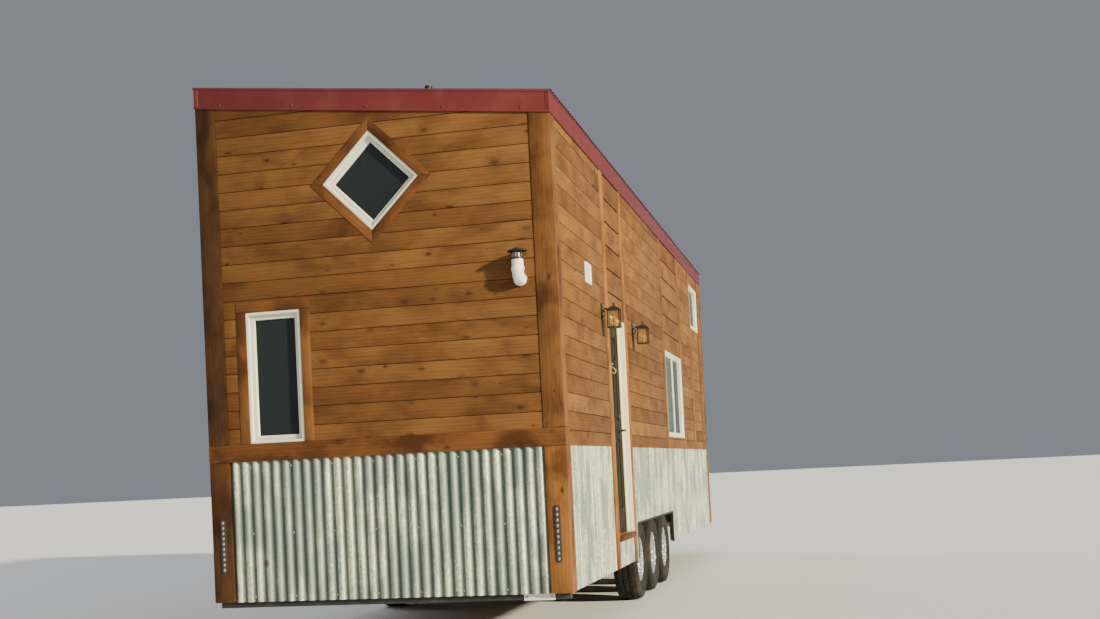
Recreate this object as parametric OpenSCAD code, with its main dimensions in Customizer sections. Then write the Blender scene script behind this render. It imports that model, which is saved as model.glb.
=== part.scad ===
// Tiny house on a three-axle trailer, with a single-pitch roof, wood siding and a corrugated skirt.
// X runs across the house (+X is the door side), Y runs from the rear wall to the hitch, Z is up.
// Inside the modules, X = 0 is the centre line, Y = 0 the rear face and Z = 0 the ground.
// placed() then moves everything so that the origin is the centre of the whole footprint.

/* [House] */
// Width over the corner boards
body_w = 2590; // [2400:10:2600]
// Length of the house body
body_l = 9750; // [9000:10:10000]
// Height of the fascia's top edge on the high side
high_z = 4098; // [4000:1:4120]
// Height of the fascia's top edge on the low (door) side
low_z = 3800; // [3700:1:3900]
// Thickness of the framed walls
wall_t = 125; // [100:1:150]
// Thickness of the trim boards that stand on the walls
board_t = 25; // [18:1:30]
// Width of the corner boards
corner_w = 150; // [120:1:170]
// Height of the fascia
fascia_h = 168; // [150:1:190]

/* [Levels] */
// Bottom edge of the corrugated skirt
skirt_z = 395; // [380:1:420]
// Underside of the floor deck
deck_z = 600; // [580:1:620]
// Thickness of the floor deck
deck_t = 55; // [40:1:70]
// Underside of the band board, where the skirt ends
band_z = 1384; // [1300:1:1450]
// Height of the band board
band_h = 106; // [80:1:140]

/* [Doorway] */
// Near edge of the doorway, measured from the rear face
door_y0 = 2036; // [1950:1:2100]
// Clear width of the doorway
door_w = 770; // [720:1:820]
// Height of the doorway above the sill
door_h = 1790; // [1700:1:1850]
// Thickness of the door leaf
leaf_t = 44; // [35:1:50]

/* [Windows] */
// Half diagonal of the diamond window's frame
diamond_r = 350; // [300:1:380]
// Height of the diamond window's centre
diamond_z = 3296; // [3200:1:3350]
// Sill height of the lower windows
sill_z = 1510; // [1495:1:1600]
// Height of the lower windows
low_win_h = 928; // [850:1:950]
// Width of the tall rear window
tall_w = 408; // [350:1:450]
// Centre of the tall rear window across the rear wall
tall_x = -770; // [-850:1:-700]
// Width of the wide side window
wide_w = 1450; // [1300:1:1500]
// Rear edge of the wide side window
wide_y = 5600; // [5500:1:5700]
// Width of the loft window
loft_w = 840; // [750:1:900]
// Height of the loft window
loft_h = 556; // [500:1:600]
// Sill height of the loft window
loft_z = 2926; // [2850:1:2950]
// Rear edge of the loft window
loft_y = 8360; // [8300:1:8450]

/* [Running gear] */
// Tyre diameter
tyre_d = 730; // [700:1:760]
// Tyre width
tyre_w = 222; // [200:1:230]
// Wheel rim diameter
rim_d = 406; // [381:1:420]
// Distance between axles
axle_gap = 838; // [800:1:860]
// Middle axle, measured from the rear face
axle_y = 4330; // [4200:1:4400]
// Middle of the tyre, measured from the centre line
wheel_x = 1137; // [1120:1:1145]
// Distance from the front wall to the tip of the coupler
tongue_l = 1400; // [1200:10:1600]

/* [Hidden] */

$fn = 48;
eps = 1;

half_w = body_w / 2;
wall_x = half_w - board_t;
wall_in_x = wall_x - wall_t;
wall_y0 = board_t;
wall_y1 = body_l - board_t;
floor_z = deck_z + deck_t;
band_top = band_z + band_h;
slope = (high_z - low_z) / body_w;
roof_angle = atan(slope);
roof_t = 110;
sheet_h = 16;
hair = 0.1;
wave_pitch = 76.2;
wave_steps = 6;
sheet_t = 2;

roof_over = 12;
lantern_reach = 165;
vent_pipe_y = -60;
cap_r = 68;
coupler_tip_y = body_l + tongue_l;
shift_x = (wall_x + lantern_reach - half_w - roof_over) / 2;
shift_y = (coupler_tip_y + vent_pipe_y - cap_r) / 2;

siding_color = "peru";
trim_color = "saddlebrown";
steel_color = "dimgray";
galv_color = "gainsboro";
red_color = "firebrick";

// Height of the fascia's top edge at a distance x from the centre line
function roof_top(x) = (high_z + low_z) / 2 - slope * x;
function roof_under(x) = roof_top(x) - roof_t;
// Top of a wall, which meets the roof deck with a hair's breadth between them
function wall_top(x) = roof_under(x) - hair;

module placed() {
    translate([-shift_x, -shift_y, 0]) children();
}

// Box between two opposite corners
module block(a, b) {
    translate(a) cube(b - a);
}

// Extrudes an outline drawn in X and Z from y0 to y1
module along_y(y0, y1) {
    translate([0, y1, 0]) rotate([90, 0, 0]) linear_extrude(y1 - y0) children();
}

// Extrudes an outline drawn in Y and Z from x0 to x1
module along_x(x0, x1) {
    translate([x0, 0, 0]) rotate([90, 0, 90]) linear_extrude(x1 - x0) children();
}

module on_both_sides() {
    children();
    mirror([1, 0, 0]) children();
}

// Places its children, drawn for the rear, at the rear and again at the front
module on_both_ends() {
    children();
    translate([0, body_l, 0]) mirror([0, 1, 0]) children();
}

// Cross-section of a corrugated sheet: X runs along the sheet, Y is the height above what it lies on.
// Each wave has a narrow flat at its valley and its crest, and the sheet starts and ends in a valley.
module corrugated_outline(length, depth) {
    n = wave_steps * round(length / wave_pitch);
    flat = cos(180 / wave_steps);
    function height(i) = (depth - sheet_t) / 2 * (1 - cos(360 * (i + 0.5) / wave_steps) / flat);
    polygon(concat(
        [for (i = [0 : n]) [i * length / n, height(i)]],
        [for (i = [n : -1 : 0]) [i * length / n, height(i) + sheet_t]]));
}

// Trailer

rail_x = 930;
rail_w = 60;
rail_h = 150;
rail_web = 10;
rail_flange = 12;

// C-section with its web towards -X
module channel_outline(w, h, web, flange) {
    polygon([[0, 0], [w, 0], [w, flange], [web, flange], [web, h - flange], [w, h - flange], [w, h], [0, h]]);
}

module main_rails() {
    color(steel_color) placed()
        on_both_sides()
            along_y(wall_y0 + rim_t, wall_y1 - rim_t)
                translate([rail_x + rail_w / 2, deck_z - rail_h]) mirror([1, 0])
                    channel_outline(rail_w, rail_h, rail_web, rail_flange);
}

cross_n = 15;
cross_h = 75;
cross_w = 40;
cross_web = 6;
cross_flange = 8;

module crossmembers() {
    inset = 200;
    first = wall_y0 + inset;
    last = wall_y1 - inset;
    reach = rail_x - rail_w / 2;
    color(steel_color) placed()
        for (i = [0 : cross_n - 1])
            translate([0, first + i * (last - first) / (cross_n - 1) - cross_w / 2, deck_z - cross_h])
                along_x(-reach, reach) channel_outline(cross_w, cross_h, cross_web, cross_flange);
}

tongue_h = 75;
tongue_root_y = 9000;
tongue_tip_x = 70;
tongue_tip_y = body_l + tongue_l - 190;

module tongue() {
    half = rail_w / 2;
    color(steel_color) placed()
        on_both_sides()
            translate([0, 0, deck_z - rail_h - tongue_h])
                linear_extrude(tongue_h)
                    polygon([[rail_x - half, tongue_root_y], [rail_x + half, tongue_root_y],
                             [tongue_tip_x + half, tongue_tip_y], [tongue_tip_x - half, tongue_tip_y]]);
}

// Half the distance between the tongue rails' centre lines at a distance y from the rear face
function tongue_half(y) =
    rail_x - (y - tongue_root_y) / (tongue_tip_y - tongue_root_y) * (rail_x - tongue_tip_x);

// Openings in the front skirt and rim board that the tongue rails pass through
module tongue_notches() {
    x = tongue_half(wall_y1);
    on_both_sides()
        block([x - 55, wall_y1 - rim_t - eps, 0], [x + 50, body_l + eps, deck_z - rail_h + 6]);
}

ball_r = 30;
ball_depth = 38;
coupler_z = deck_z - rail_h;
coupler_h = 85;
nose_y = coupler_tip_y - 60;

module coupler() {
    side = tongue_tip_x + rail_w / 2;
    back_y = tongue_tip_y - 180;
    neck_y = tongue_tip_y - 60;
    nose_r = 48;
    color("black") placed()
        difference() {
            union() {
                translate([0, 0, coupler_z]) {
                    linear_extrude(coupler_h)
                        polygon([[-side, back_y], [side, back_y], [side, neck_y], [nose_r, nose_y],
                                 [-nose_r, nose_y], [-side, neck_y]]);
                    translate([0, nose_y, 0]) cylinder(r = nose_r + 12, h = coupler_h - 12);
                    translate([0, nose_y, 0]) cylinder(r = nose_r, h = coupler_h);
                }
                // Latch on top, with its lever laid back
                translate([0, nose_y - 60, coupler_z + coupler_h - eps]) {
                    block([-14, -34, 0], [14, 34, 30]);
                    translate([0, 10, 24]) rotate([82, 0, 0]) cylinder(r = 7, h = 130);
                }
            }
            translate([0, nose_y, coupler_z - eps]) cylinder(r = ball_r, h = ball_depth + eps);
        }
}

jack_y = body_l + 780;

// Drop-leg jack with a top crank, carried by a plate across the tongue rails
module tongue_jack() {
    plate_y = [jack_y - 110, jack_y + 110];
    plate_z = deck_z - rail_h;
    plate_t = 8;
    tube = [24, 32];
    tube_top = 850;
    head_top = 934;
    crank_z = 886;
    crank_l = 150;
    rod_r = 8;
    color("silver") placed() {
        translate([0, 0, plate_z])
            linear_extrude(plate_t)
                polygon([[-tongue_half(plate_y[0]), plate_y[0]], [tongue_half(plate_y[0]), plate_y[0]],
                         [tongue_half(plate_y[1]), plate_y[1]], [-tongue_half(plate_y[1]), plate_y[1]]]);
        translate([0, jack_y, 0])
            rotate_extrude()
                polygon([[0, 0], [85, 0], [85, 6], [78, 10], [30, 12], [tube[0], 20], [tube[0], 300],
                         [tube[1], 300], [tube[1], plate_z], [60, plate_z], [60, plate_z + 18],
                         [tube[1], plate_z + 18], [tube[1], tube_top], [tube[1] + 10, tube_top + 6],
                         [tube[1] + 10, head_top - 22], [tube[1] - 2, head_top - 4], [0, head_top]]);
        translate([0, jack_y, crank_z]) {
            rotate([0, 90, 0]) cylinder(r = rod_r, h = crank_l);
            translate([crank_l, 0, 0]) {
                sphere(r = rod_r);
                rotate([90, 0, 0]) cylinder(r = rod_r, h = 120);
                translate([0, -60, 0]) rotate([90, 0, 0]) cylinder(r = 13, h = 70);
            }
        }
    }
}

bumper_h = 42;

// Bar under the rear skirt, hung from the main rails by two brackets
module rear_bumper() {
    half = 1268;
    y = [45, 95];
    bracket_w = 50;
    bracket_t = 35;
    color(steel_color) placed() {
        block([-half, y[0], skirt_z - bumper_h], [half, y[1], skirt_z]);
        for (s = [-1, 1])
            block([s * rail_x - bracket_w / 2, y[1] - bracket_t, skirt_z - eps],
                  [s * rail_x + bracket_w / 2, y[1], deck_z - rail_h]);
    }
}

// Tank with rounded lower edges, hung under the crossmembers
module holding_tank() {
    x = [-150, 430];
    y = [900, 1900];
    z = [300, deck_z - cross_h];
    r = 70;
    strap_w = 40;
    strap_t = 7;
    strap_out = 6;
    color("#202020") placed() {
        along_y(y[0], y[1]) {
            translate([x[0], z[0] + r]) square([x[1] - x[0], z[1] - z[0] - r]);
            translate([x[0] + r, z[0]]) square([x[1] - x[0] - 2 * r, r + eps]);
            for (cx = [x[0] + r, x[1] - r]) translate([cx, z[0] + r]) circle(r);
        }
        for (strap_y = [y[0] + 200, y[1] - 200])
            translate([x[0] - strap_out, strap_y, z[0] - strap_out]) {
                reach = x[1] - x[0] + 2 * strap_out;
                block([0, 0, 0], [reach, strap_w, strap_t]);
                block([0, 0, 0], [strap_t, strap_w, z[1] - z[0] + strap_out]);
                block([reach - strap_t, 0, 0], [reach, strap_w, z[1] - z[0] + strap_out]);
            }
    }
}

spring_len = 640;
spring_rise = 45;
leaf_h = 8;
leaf_w = 44;
seat_half = 40;
seat_z = 42;
axle_r = 38;
wheel_z = tyre_d / 2;

module at_axles() {
    for (i = [-1 : 1]) translate([0, axle_y + i * axle_gap, wheel_z]) children();
}

// Axle tube with spring seats, spindles and the backing plates of the brakes
module axles() {
    tube_end = rail_x + 70;
    spindle_r = 20;
    flange_r = 60;
    backing_r = 140;
    color(steel_color) placed()
        at_axles() {
            rotate([0, 90, 0]) cylinder(r = axle_r, h = 2 * tube_end, center = true);
            on_both_sides() {
                block([rail_x - leaf_w / 2, -seat_half, -seat_z], [rail_x + leaf_w / 2, seat_half, -10]);
                translate([tube_end - 10, 0, 0]) rotate([0, 90, 0]) cylinder(r = spindle_r, h = 190);
                translate([tube_end - 1, 0, 0]) rotate([0, 90, 0]) cylinder(r1 = axle_r, r2 = flange_r, h = 40);
                translate([tube_end + 38, 0, 0]) rotate([0, 90, 0]) cylinder(r = flange_r, h = 9);
                translate([wheel_x - 91, 0, 0]) rotate([0, 90, 0]) cylinder(r = backing_r, h = 10);
            }
        }
}

// One leaf: an arc under the seat, with its middle at the origin's Y and its ends raised
module leaf(radius, half_angle) {
    rotate([0, 90, 0]) rotate([0, 0, -half_angle])
        rotate_extrude(angle = 2 * half_angle, $fn = 360)
            translate([radius, -leaf_w / 2]) square([leaf_h, leaf_w]);
}

// Pair of plates on both sides of a spring, drawn in Y and Z
module link_plates() {
    for (x = [-leaf_w / 2 - 7, leaf_w / 2 + 2])
        along_x(x, x + 5) children();
}

module spring_eye() {
    rotate([0, 90, 0]) cylinder(r = 15, h = leaf_w, center = true);
    rotate([0, 90, 0]) cylinder(r = 9, h = leaf_w + 30, center = true);
}

// Slipper springs under the axles, with U-bolts, hangers on the rail and rocker links between the axles
module leaf_springs() {
    arc_r = (pow(spring_len / 2, 2) + pow(spring_rise, 2)) / (2 * spring_rise);
    top_z = -seat_z - pow(seat_half, 2) / (2 * arc_r);
    half_angle = asin(spring_len / 2 / arc_r);
    eye_z = top_z + spring_rise + 4;
    hang_z = deck_z - rail_h - wheel_z;
    leaves = 4;
    taper = 0.22;
    bolt_r = 6;
    bolt_x = leaf_w / 2 + bolt_r + 1;
    bolt_y = axle_r + bolt_r + 1;
    clamp_z = top_z - leaves * leaf_h;
    color("#303030") placed() {
        on_both_sides() translate([rail_x, 0, 0]) {
            at_axles() {
                for (i = [0 : leaves - 1])
                    translate([0, 0, top_z + arc_r]) leaf(arc_r + i * leaf_h, half_angle * (1 - taper * i));
                for (y = [-1, 1]) translate([0, y * spring_len / 2, eye_z]) spring_eye();
                for (x = [-1, 1], y = [-1, 1])
                    translate([x * bolt_x, y * bolt_y, -96]) cylinder(r = bolt_r, h = 96);
                for (x = [-1, 1])
                    translate([x * bolt_x, 0, 0]) rotate([0, 90, 0]) rotate([0, 0, 90])
                        rotate_extrude(angle = 180) translate([bolt_y, 0]) circle(bolt_r);
                block([-40, -60, clamp_z - 8], [40, 60, clamp_z]);
            }
            // Fixed hangers at the two outer ends
            for (s = [-1, 1])
                translate([0, axle_y + s * (axle_gap + spring_len / 2), wheel_z])
                    link_plates() polygon([[-20, eye_z - 22], [20, eye_z - 22], [34, hang_z], [-34, hang_z]]);
            // Rocker links and their centre hangers
            for (s = [-1, 1])
                translate([0, axle_y + s * axle_gap / 2, wheel_z]) {
                    reach = (axle_gap - spring_len) / 2;
                    link_plates() polygon([[-reach - 18, eye_z - 16], [reach + 18, eye_z - 16],
                                           [reach + 18, eye_z + 16], [30, eye_z + 46], [-30, eye_z + 46],
                                           [-reach - 18, eye_z + 16]]);
                    block([-20, -26, eye_z + 8], [20, 26, hang_z]);
                    translate([0, 0, eye_z + 24])
                        rotate([0, 90, 0]) cylinder(r = 10, h = leaf_w + 34, center = true);
                }
        }
    }
}

well_y0 = 3020;
well_y1 = 5640;
well_x = 985;
well_z = 800;
well_t = 5;

module wheel_wells() {
    color("#252525") placed()
        on_both_sides()
            difference() {
                block([well_x, well_y0, deck_z], [wall_x - lip_t - 2, well_y1, well_z]);
                block([well_x + well_t, well_y0 + well_t, deck_z - eps],
                      [wall_x, well_y1 - well_t, well_z - well_t]);
            }
}

// Tyre cross-section: u is the distance from the wheel's axis, v runs across the tread
module tyre_outline() {
    r_out = tyre_d / 2;
    r_in = rim_d / 2 - 8;
    half = tyre_w / 2;
    shoulder = 28;
    difference() {
        hull() {
            translate([r_out - shoulder, half - shoulder - 6]) circle(shoulder);
            translate([r_out - shoulder, -half + shoulder + 6]) circle(shoulder);
            translate([(r_out + r_in) / 2 + 10, half - 45]) circle(45);
            translate([(r_out + r_in) / 2 + 10, -half + 45]) circle(45);
            translate([r_in, -half + 34]) square([10, tyre_w - 68]);
        }
        for (v = [-54, -18, 18, 54])
            translate([r_out - 9, v - 4]) square([20, 8]);
    }
}

module tyre(side, index) {
    color("#1a1a1a") placed()
        translate([side * wheel_x, axle_y + index * axle_gap, wheel_z])
            rotate([0, 90, 0]) rotate_extrude($fn = 96) tyre_outline();
}

// Steel wheel with its brake drum and hub: a rim that carries the tyre, a dished disc with hand holes,
// hexagonal wheel nuts and a domed hub cap
module wheel(side, index) {
    half = tyre_w / 2 - 34;
    r_seat = rim_d / 2 - 8;
    r_well = r_seat - 12;
    r_lip = rim_d / 2;
    drum_r = 150;
    hub_r = 24;
    nut_r = 84;
    hole_r = 134;
    color("silver") placed()
        translate([side * wheel_x, axle_y + index * axle_gap, wheel_z])
            rotate([0, side * 90, 0])
                difference() {
                    union() {
                        rotate_extrude($fn = 96)
                            polygon([[r_seat, -half], [r_lip, -half - 8], [r_lip, -half - 12],
                                     [r_well, -half - 4], [r_well, 14], [drum_r, 20], [100, 34], [70, 30],
                                     [70, -20], [drum_r, -20], [drum_r, -half + 2], [hub_r, -half + 2],
                                     [hub_r, 62], [56, 62], [64, 46], [100, 42], [drum_r, 30],
                                     [r_well, 26], [r_well, half + 4], [r_lip, half + 12],
                                     [r_lip, half + 8], [r_seat, half]]);
                        translate([0, 0, 60])
                            rotate_extrude()
                                polygon([[hub_r, 0], [44, 0], [44, 26], [38, 36], [24, 42], [0, 44],
                                         [0, 38], [hub_r, 34]]);
                        for (a = [22.5 : 45 : 337.5])
                            rotate([0, 0, a]) translate([nut_r, 0, 36]) cylinder(r = 12, h = 24, $fn = 6);
                    }
                    for (a = [0 : 45 : 315])
                        rotate([0, 0, a]) translate([hole_r, 0, 24]) cylinder(r = 19, h = 60, center = true);
                }
}

module tyre_right_rear() { tyre(1, -1); }
module tyre_right_mid() { tyre(1, 0); }
module tyre_right_front() { tyre(1, 1); }
module tyre_left_rear() { tyre(-1, -1); }
module tyre_left_mid() { tyre(-1, 0); }
module tyre_left_front() { tyre(-1, 1); }
module wheel_right_rear() { wheel(1, -1); }
module wheel_right_mid() { wheel(1, 0); }
module wheel_right_front() { wheel(1, 1); }
module wheel_left_rear() { wheel(-1, -1); }
module wheel_left_mid() { wheel(-1, 0); }
module wheel_left_front() { wheel(-1, 1); }

// House shell

module floor() {
    color("burlywood") placed()
        difference() {
            block([-wall_x, wall_y0, deck_z], [wall_x, wall_y1, floor_z]);
            on_both_sides()
                block([well_x, well_y0, deck_z - eps], [wall_x + eps, well_y1, floor_z + eps]);
        }
}

rim_t = 30;
rim_z = skirt_z + 5;
lip_t = 16;
opening_z = 720;
opening_y0 = 3060;
opening_y1 = 5600;

module rim_boards() {
    color("tan") placed() {
        block([-wall_x, wall_y0, rim_z], [wall_x, wall_y0 + rim_t, deck_z]);
        difference() {
            block([-wall_x, wall_y1 - rim_t, rim_z], [wall_x, wall_y1, deck_z]);
            tongue_notches();
        }
        on_both_sides() {
            block([wall_x - rim_t, wall_y0 + rim_t + 2, rim_z], [wall_x, well_y0, deck_z]);
            block([wall_x - rim_t, well_y1, rim_z], [wall_x, wall_y1 - rim_t - 2, deck_z]);
            block([wall_x - lip_t, well_y0 + 2, opening_z], [wall_x, well_y1 - 2, well_z]);
        }
    }
}

// End wall outline in X and Z, under the sloping roof
module end_wall_outline() {
    polygon([[-wall_x, floor_z], [wall_x, floor_z], [wall_x, wall_top(wall_x)], [-wall_x, wall_top(-wall_x)]]);
}

module diamond_hole(r, y0, y1) {
    translate([0, y0, diamond_z]) rotate([-90, 0, 0]) rotate([0, 0, 45])
        translate([-r / sqrt(2), -r / sqrt(2), 0]) cube([r * sqrt(2), r * sqrt(2), y1 - y0]);
}

module rear_wall() {
    color(siding_color) placed()
        difference() {
            along_y(wall_y0, wall_y0 + wall_t) end_wall_outline();
            diamond_hole(diamond_r, wall_y0 - eps, wall_y0 + wall_t + eps);
            block([tall_x - tall_w / 2, wall_y0 - eps, sill_z],
                  [tall_x + tall_w / 2, wall_y0 + wall_t + eps, sill_z + low_win_h]);
        }
}

module front_wall() {
    color(siding_color) placed()
        difference() {
            along_y(wall_y1 - wall_t, wall_y1) end_wall_outline();
            block([-loft_w / 2, wall_y1 - wall_t - eps, loft_z], [loft_w / 2, wall_y1 + eps, loft_z + loft_h]);
        }
}

// Side wall between two distances from the rear face, drawn on the +X or -X side
module side_wall(side, y0, y1, z0) {
    a = side * wall_x;
    b = side * wall_in_x;
    along_y(y0, y1)
        polygon([[a, z0], [b, z0], [b, wall_top(b)], [a, wall_top(a)]]);
}

side_y0 = wall_y0 + wall_t;
side_y1 = wall_y1 - wall_t;

module side_window_holes() {
    block([wall_in_x - eps, wide_y, sill_z], [wall_x + eps, wide_y + wide_w, sill_z + low_win_h]);
    block([wall_in_x - eps, loft_y, loft_z], [wall_x + eps, loft_y + loft_w, loft_z + loft_h]);
}

module well_notch() {
    block([wall_in_x - eps, well_y0, floor_z - eps], [wall_x + eps, well_y1, well_z]);
}

module left_wall() {
    color(siding_color) placed()
        difference() {
            side_wall(-1, side_y0, side_y1, floor_z);
            mirror([1, 0, 0]) {
                side_window_holes();
                well_notch();
            }
        }
}

jamb_t = 20;
rough_y0 = door_y0 - jamb_t;
rough_y1 = door_y0 + door_w + jamb_t;
door_top = floor_z + door_h;
rough_top = door_top + jamb_t;

module right_wall_rear() {
    color(siding_color) placed() side_wall(1, side_y0, rough_y0, floor_z);
}

module right_wall_over_door() {
    color(siding_color) placed() side_wall(1, rough_y0, rough_y1, rough_top);
}

module right_wall_front() {
    color(siding_color) placed()
        difference() {
            side_wall(1, rough_y1, side_y1, floor_z);
            side_window_holes();
            well_notch();
        }
}

// Roof

module roof_deck() {
    color("tan") placed()
        along_y(wall_y0, wall_y1)
            polygon([[-wall_x, roof_under(-wall_x)], [wall_x, roof_under(wall_x)],
                     [wall_x, roof_top(wall_x) - sheet_h - hair],
                     [-wall_x, roof_top(-wall_x) - sheet_h - hair]]);
}

// Corrugated roof sheet: its waves run down the slope, on the deck
module roof_sheet() {
    edge = half_w + roof_over;
    color("#5a3030") placed()
        translate([-edge, -6, roof_top(-edge) - sheet_h])
            rotate([0, roof_angle, 0])
                along_x(0, 2 * edge / cos(roof_angle))
                    corrugated_outline(body_l + 12, sheet_h * cos(roof_angle));
}

// Band round the house in X and Z, between two distances below the roof line
module fascia_outline(x, low, high) {
    polygon([[-x, roof_top(-x) - low], [x, roof_top(x) - low],
             [x, roof_top(x) - high], [-x, roof_top(-x) - high]]);
}

// Metal fascia with a folded hem along its lower edge and a drip lip under the roof sheet
module fascia() {
    proud = 4;
    fold = 4;
    hem = 14;
    lip = 12;
    color(red_color) placed()
        difference() {
            union() {
                along_y(-proud, body_l + proud) fascia_outline(half_w + proud, fascia_h, sheet_h + hair);
                for (z = [[fascia_h, fascia_h - hem], [sheet_h + lip, sheet_h + hair]])
                    along_y(-proud - fold, body_l + proud + fold)
                        fascia_outline(half_w + proud + fold, z[0], z[1]);
            }
            block([-wall_x, wall_y0, low_z - fascia_h - 50], [wall_x, wall_y1, high_z + 50]);
        }
}

// Trim boards

// Cross-section of the L-shaped corner board at the +X rear corner, seen from above
module corner_board_outline() {
    arris = 4;
    polygon([[half_w - corner_w, 0], [half_w - arris, 0], [half_w, arris], [half_w, corner_w],
             [wall_x, corner_w], [wall_x, board_t], [half_w - corner_w, board_t]]);
}

module corner_boards() {
    low_end = roof_top(half_w) - fascia_h;
    high_end = roof_top(-half_w) - fascia_h;
    color(trim_color) placed()
        on_both_ends()
            difference() {
                intersection() {
                    on_both_sides()
                        translate([0, 0, skirt_z]) linear_extrude(high_end - skirt_z) corner_board_outline();
                    along_y(-eps, corner_w + eps)
                        polygon([[-half_w, 0], [half_w, 0], [half_w, low_end], [-half_w, high_end]]);
                }
                block([-half_w - eps, -eps, band_z], [half_w + eps, board_t, band_top]);
            }
}

module band_boards() {
    color(trim_color) placed()
        on_both_ends() block([-half_w, -3, band_z], [half_w, board_t, band_top]);
}

skirt_d = 20;
trim_w = 140;
sill_h = 45;
surround_y0 = door_y0 - 10 - trim_w;
surround_y1 = door_y0 + door_w + 10 + trim_w;

// Corrugated sheet on the +X wall, with upright waves
module skirt_sheet_x(y0, y1, z0, z1) {
    translate([wall_x, y0, z0]) mirror([1, -1, 0]) linear_extrude(z1 - z0) corrugated_outline(y1 - y0, skirt_d);
}

// Folded edging round the wheel opening of the +X skirt
module opening_edging() {
    edge_t = 6;
    difference() {
        block([wall_x, opening_y0, skirt_z], [half_w - 2, opening_y1, opening_z]);
        block([wall_x - eps, opening_y0 + edge_t, 0], [half_w, opening_y1 - edge_t, opening_z - edge_t]);
    }
}

module long_skirt_sheet_x(y0) {
    difference() {
        skirt_sheet_x(y0, body_l - corner_w, skirt_z, band_z);
        block([wall_x - eps, opening_y0, 0], [half_w, opening_y1, opening_z]);
    }
    opening_edging();
}

module end_skirt_sheet() {
    reach = half_w - corner_w;
    translate([-reach, board_t, skirt_z])
        mirror([0, 1, 0]) linear_extrude(band_z - skirt_z) corrugated_outline(2 * reach, skirt_d);
}

module corrugated_skirt() {
    color(galv_color) placed() {
        end_skirt_sheet();
        difference() {
            translate([0, body_l, 0]) mirror([0, 1, 0]) end_skirt_sheet();
            tongue_notches();
        }
        skirt_sheet_x(corner_w, surround_y0, skirt_z, band_z);
        skirt_sheet_x(rough_y0, rough_y1, skirt_z, floor_z - sill_h);
        long_skirt_sheet_x(surround_y1);
        mirror([1, 0, 0]) long_skirt_sheet_x(corner_w);
    }
}

// Doorway

gap = 7;
leaf_out_x = half_w - 70;
leaf_in_x = leaf_out_x - leaf_t;
stop_w = 12;
hinge_x = leaf_in_x - 7;
hinge_y = door_y0 + 4;
knuckle_r = 6;
knuckle_h = 32;
knuckle_pitch = 34;
hinge_z = [for (z = [200, door_h / 2, door_h - 200]) floor_z + z];

// One knuckle round the height z with its thin leaf: y is the face that the leaf lies on, and out the
// side that it stands on
module hinge_half(y, out, z) {
    plate_t = 1.5;
    plate_w = 45;
    z0 = z - knuckle_h / 2;
    translate([hinge_x, hinge_y, z0]) cylinder(r = knuckle_r, h = knuckle_h);
    translate([hinge_x, out > 0 ? y : y - plate_t, z0]) cube([plate_w, plate_t, knuckle_h]);
}

// Jambs and head with the stops that the leaf closes against, and the fixed halves of the hinges
module door_frame() {
    color("white") placed() {
        difference() {
            block([leaf_in_x, rough_y0, floor_z], [half_w - 2, rough_y1, rough_top]);
            block([leaf_in_x - eps, door_y0, floor_z - eps], [half_w, door_y0 + door_w, door_top]);
        }
        difference() {
            block([leaf_out_x + 5, door_y0 - eps, floor_z],
                  [leaf_out_x + 17, door_y0 + door_w + eps, door_top + eps]);
            block([leaf_out_x, door_y0 + stop_w, floor_z - eps],
                  [half_w, door_y0 + door_w - stop_w, door_top - stop_w]);
        }
        for (z = hinge_z, s = [-1, 1]) hinge_half(door_y0, 1, z + s * knuckle_pitch);
    }
}

// Flat trims beside the doorway, and the sloped sill that joins them
module door_surround() {
    top_at = roof_top(half_w) - fascia_h;
    color(siding_color) placed() {
        block([wall_x, surround_y0, skirt_z], [half_w, rough_y0, top_at]);
        block([wall_x, rough_y1, skirt_z], [half_w, surround_y1, top_at]);
        along_y(rough_y0 - eps, rough_y1 + eps)
            polygon([[wall_x, floor_z - sill_h], [half_w + 20, floor_z - sill_h], [half_w + 20, floor_z - 16],
                     [half_w, floor_z], [wall_x, floor_z]]);
    }
}

// Raised panel, drawn on the leaf's outer face: a recess with a field standing in it
module leaf_panel_recess(y0, y1, z0, z1) {
    margin = 28;
    difference() {
        block([leaf_out_x - 9, y0, z0], [leaf_out_x + eps, y1, z1]);
        block([leaf_out_x - 10, y0 + margin, z0 + margin], [leaf_out_x - 3, y1 - margin, z1 - margin]);
    }
}

// Panelled leaf with three rows of two panels on both faces, and the moving halves of the hinges
module door_leaf() {
    stile = 105;
    y0 = door_y0 + gap;
    y1 = door_y0 + door_w - gap;
    z0 = floor_z + gap;
    panel_w = (y1 - y0 - 3 * stile) / 2;
    mid_x = leaf_out_x - leaf_t / 2;
    panel_rows = [[210, 790], [950, 1370], [1480, 1660]];
    color("#3a2f28") placed() {
        difference() {
            block([leaf_in_x, y0, z0], [leaf_out_x, y1, door_top - gap]);
            for (face = [0, 1], column = [0, 1], row = panel_rows)
                translate([mid_x, 0, 0]) mirror([face, 0, 0]) translate([-mid_x, 0, 0]) {
                    y = y0 + stile + column * (stile + panel_w);
                    leaf_panel_recess(y, y + panel_w, z0 + row[0], z0 + row[1]);
                }
        }
        for (z = hinge_z) hinge_half(y0, -1, z);
    }
}

handle_y = door_y0 + door_w - 75;
handle_z = 1530;

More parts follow.
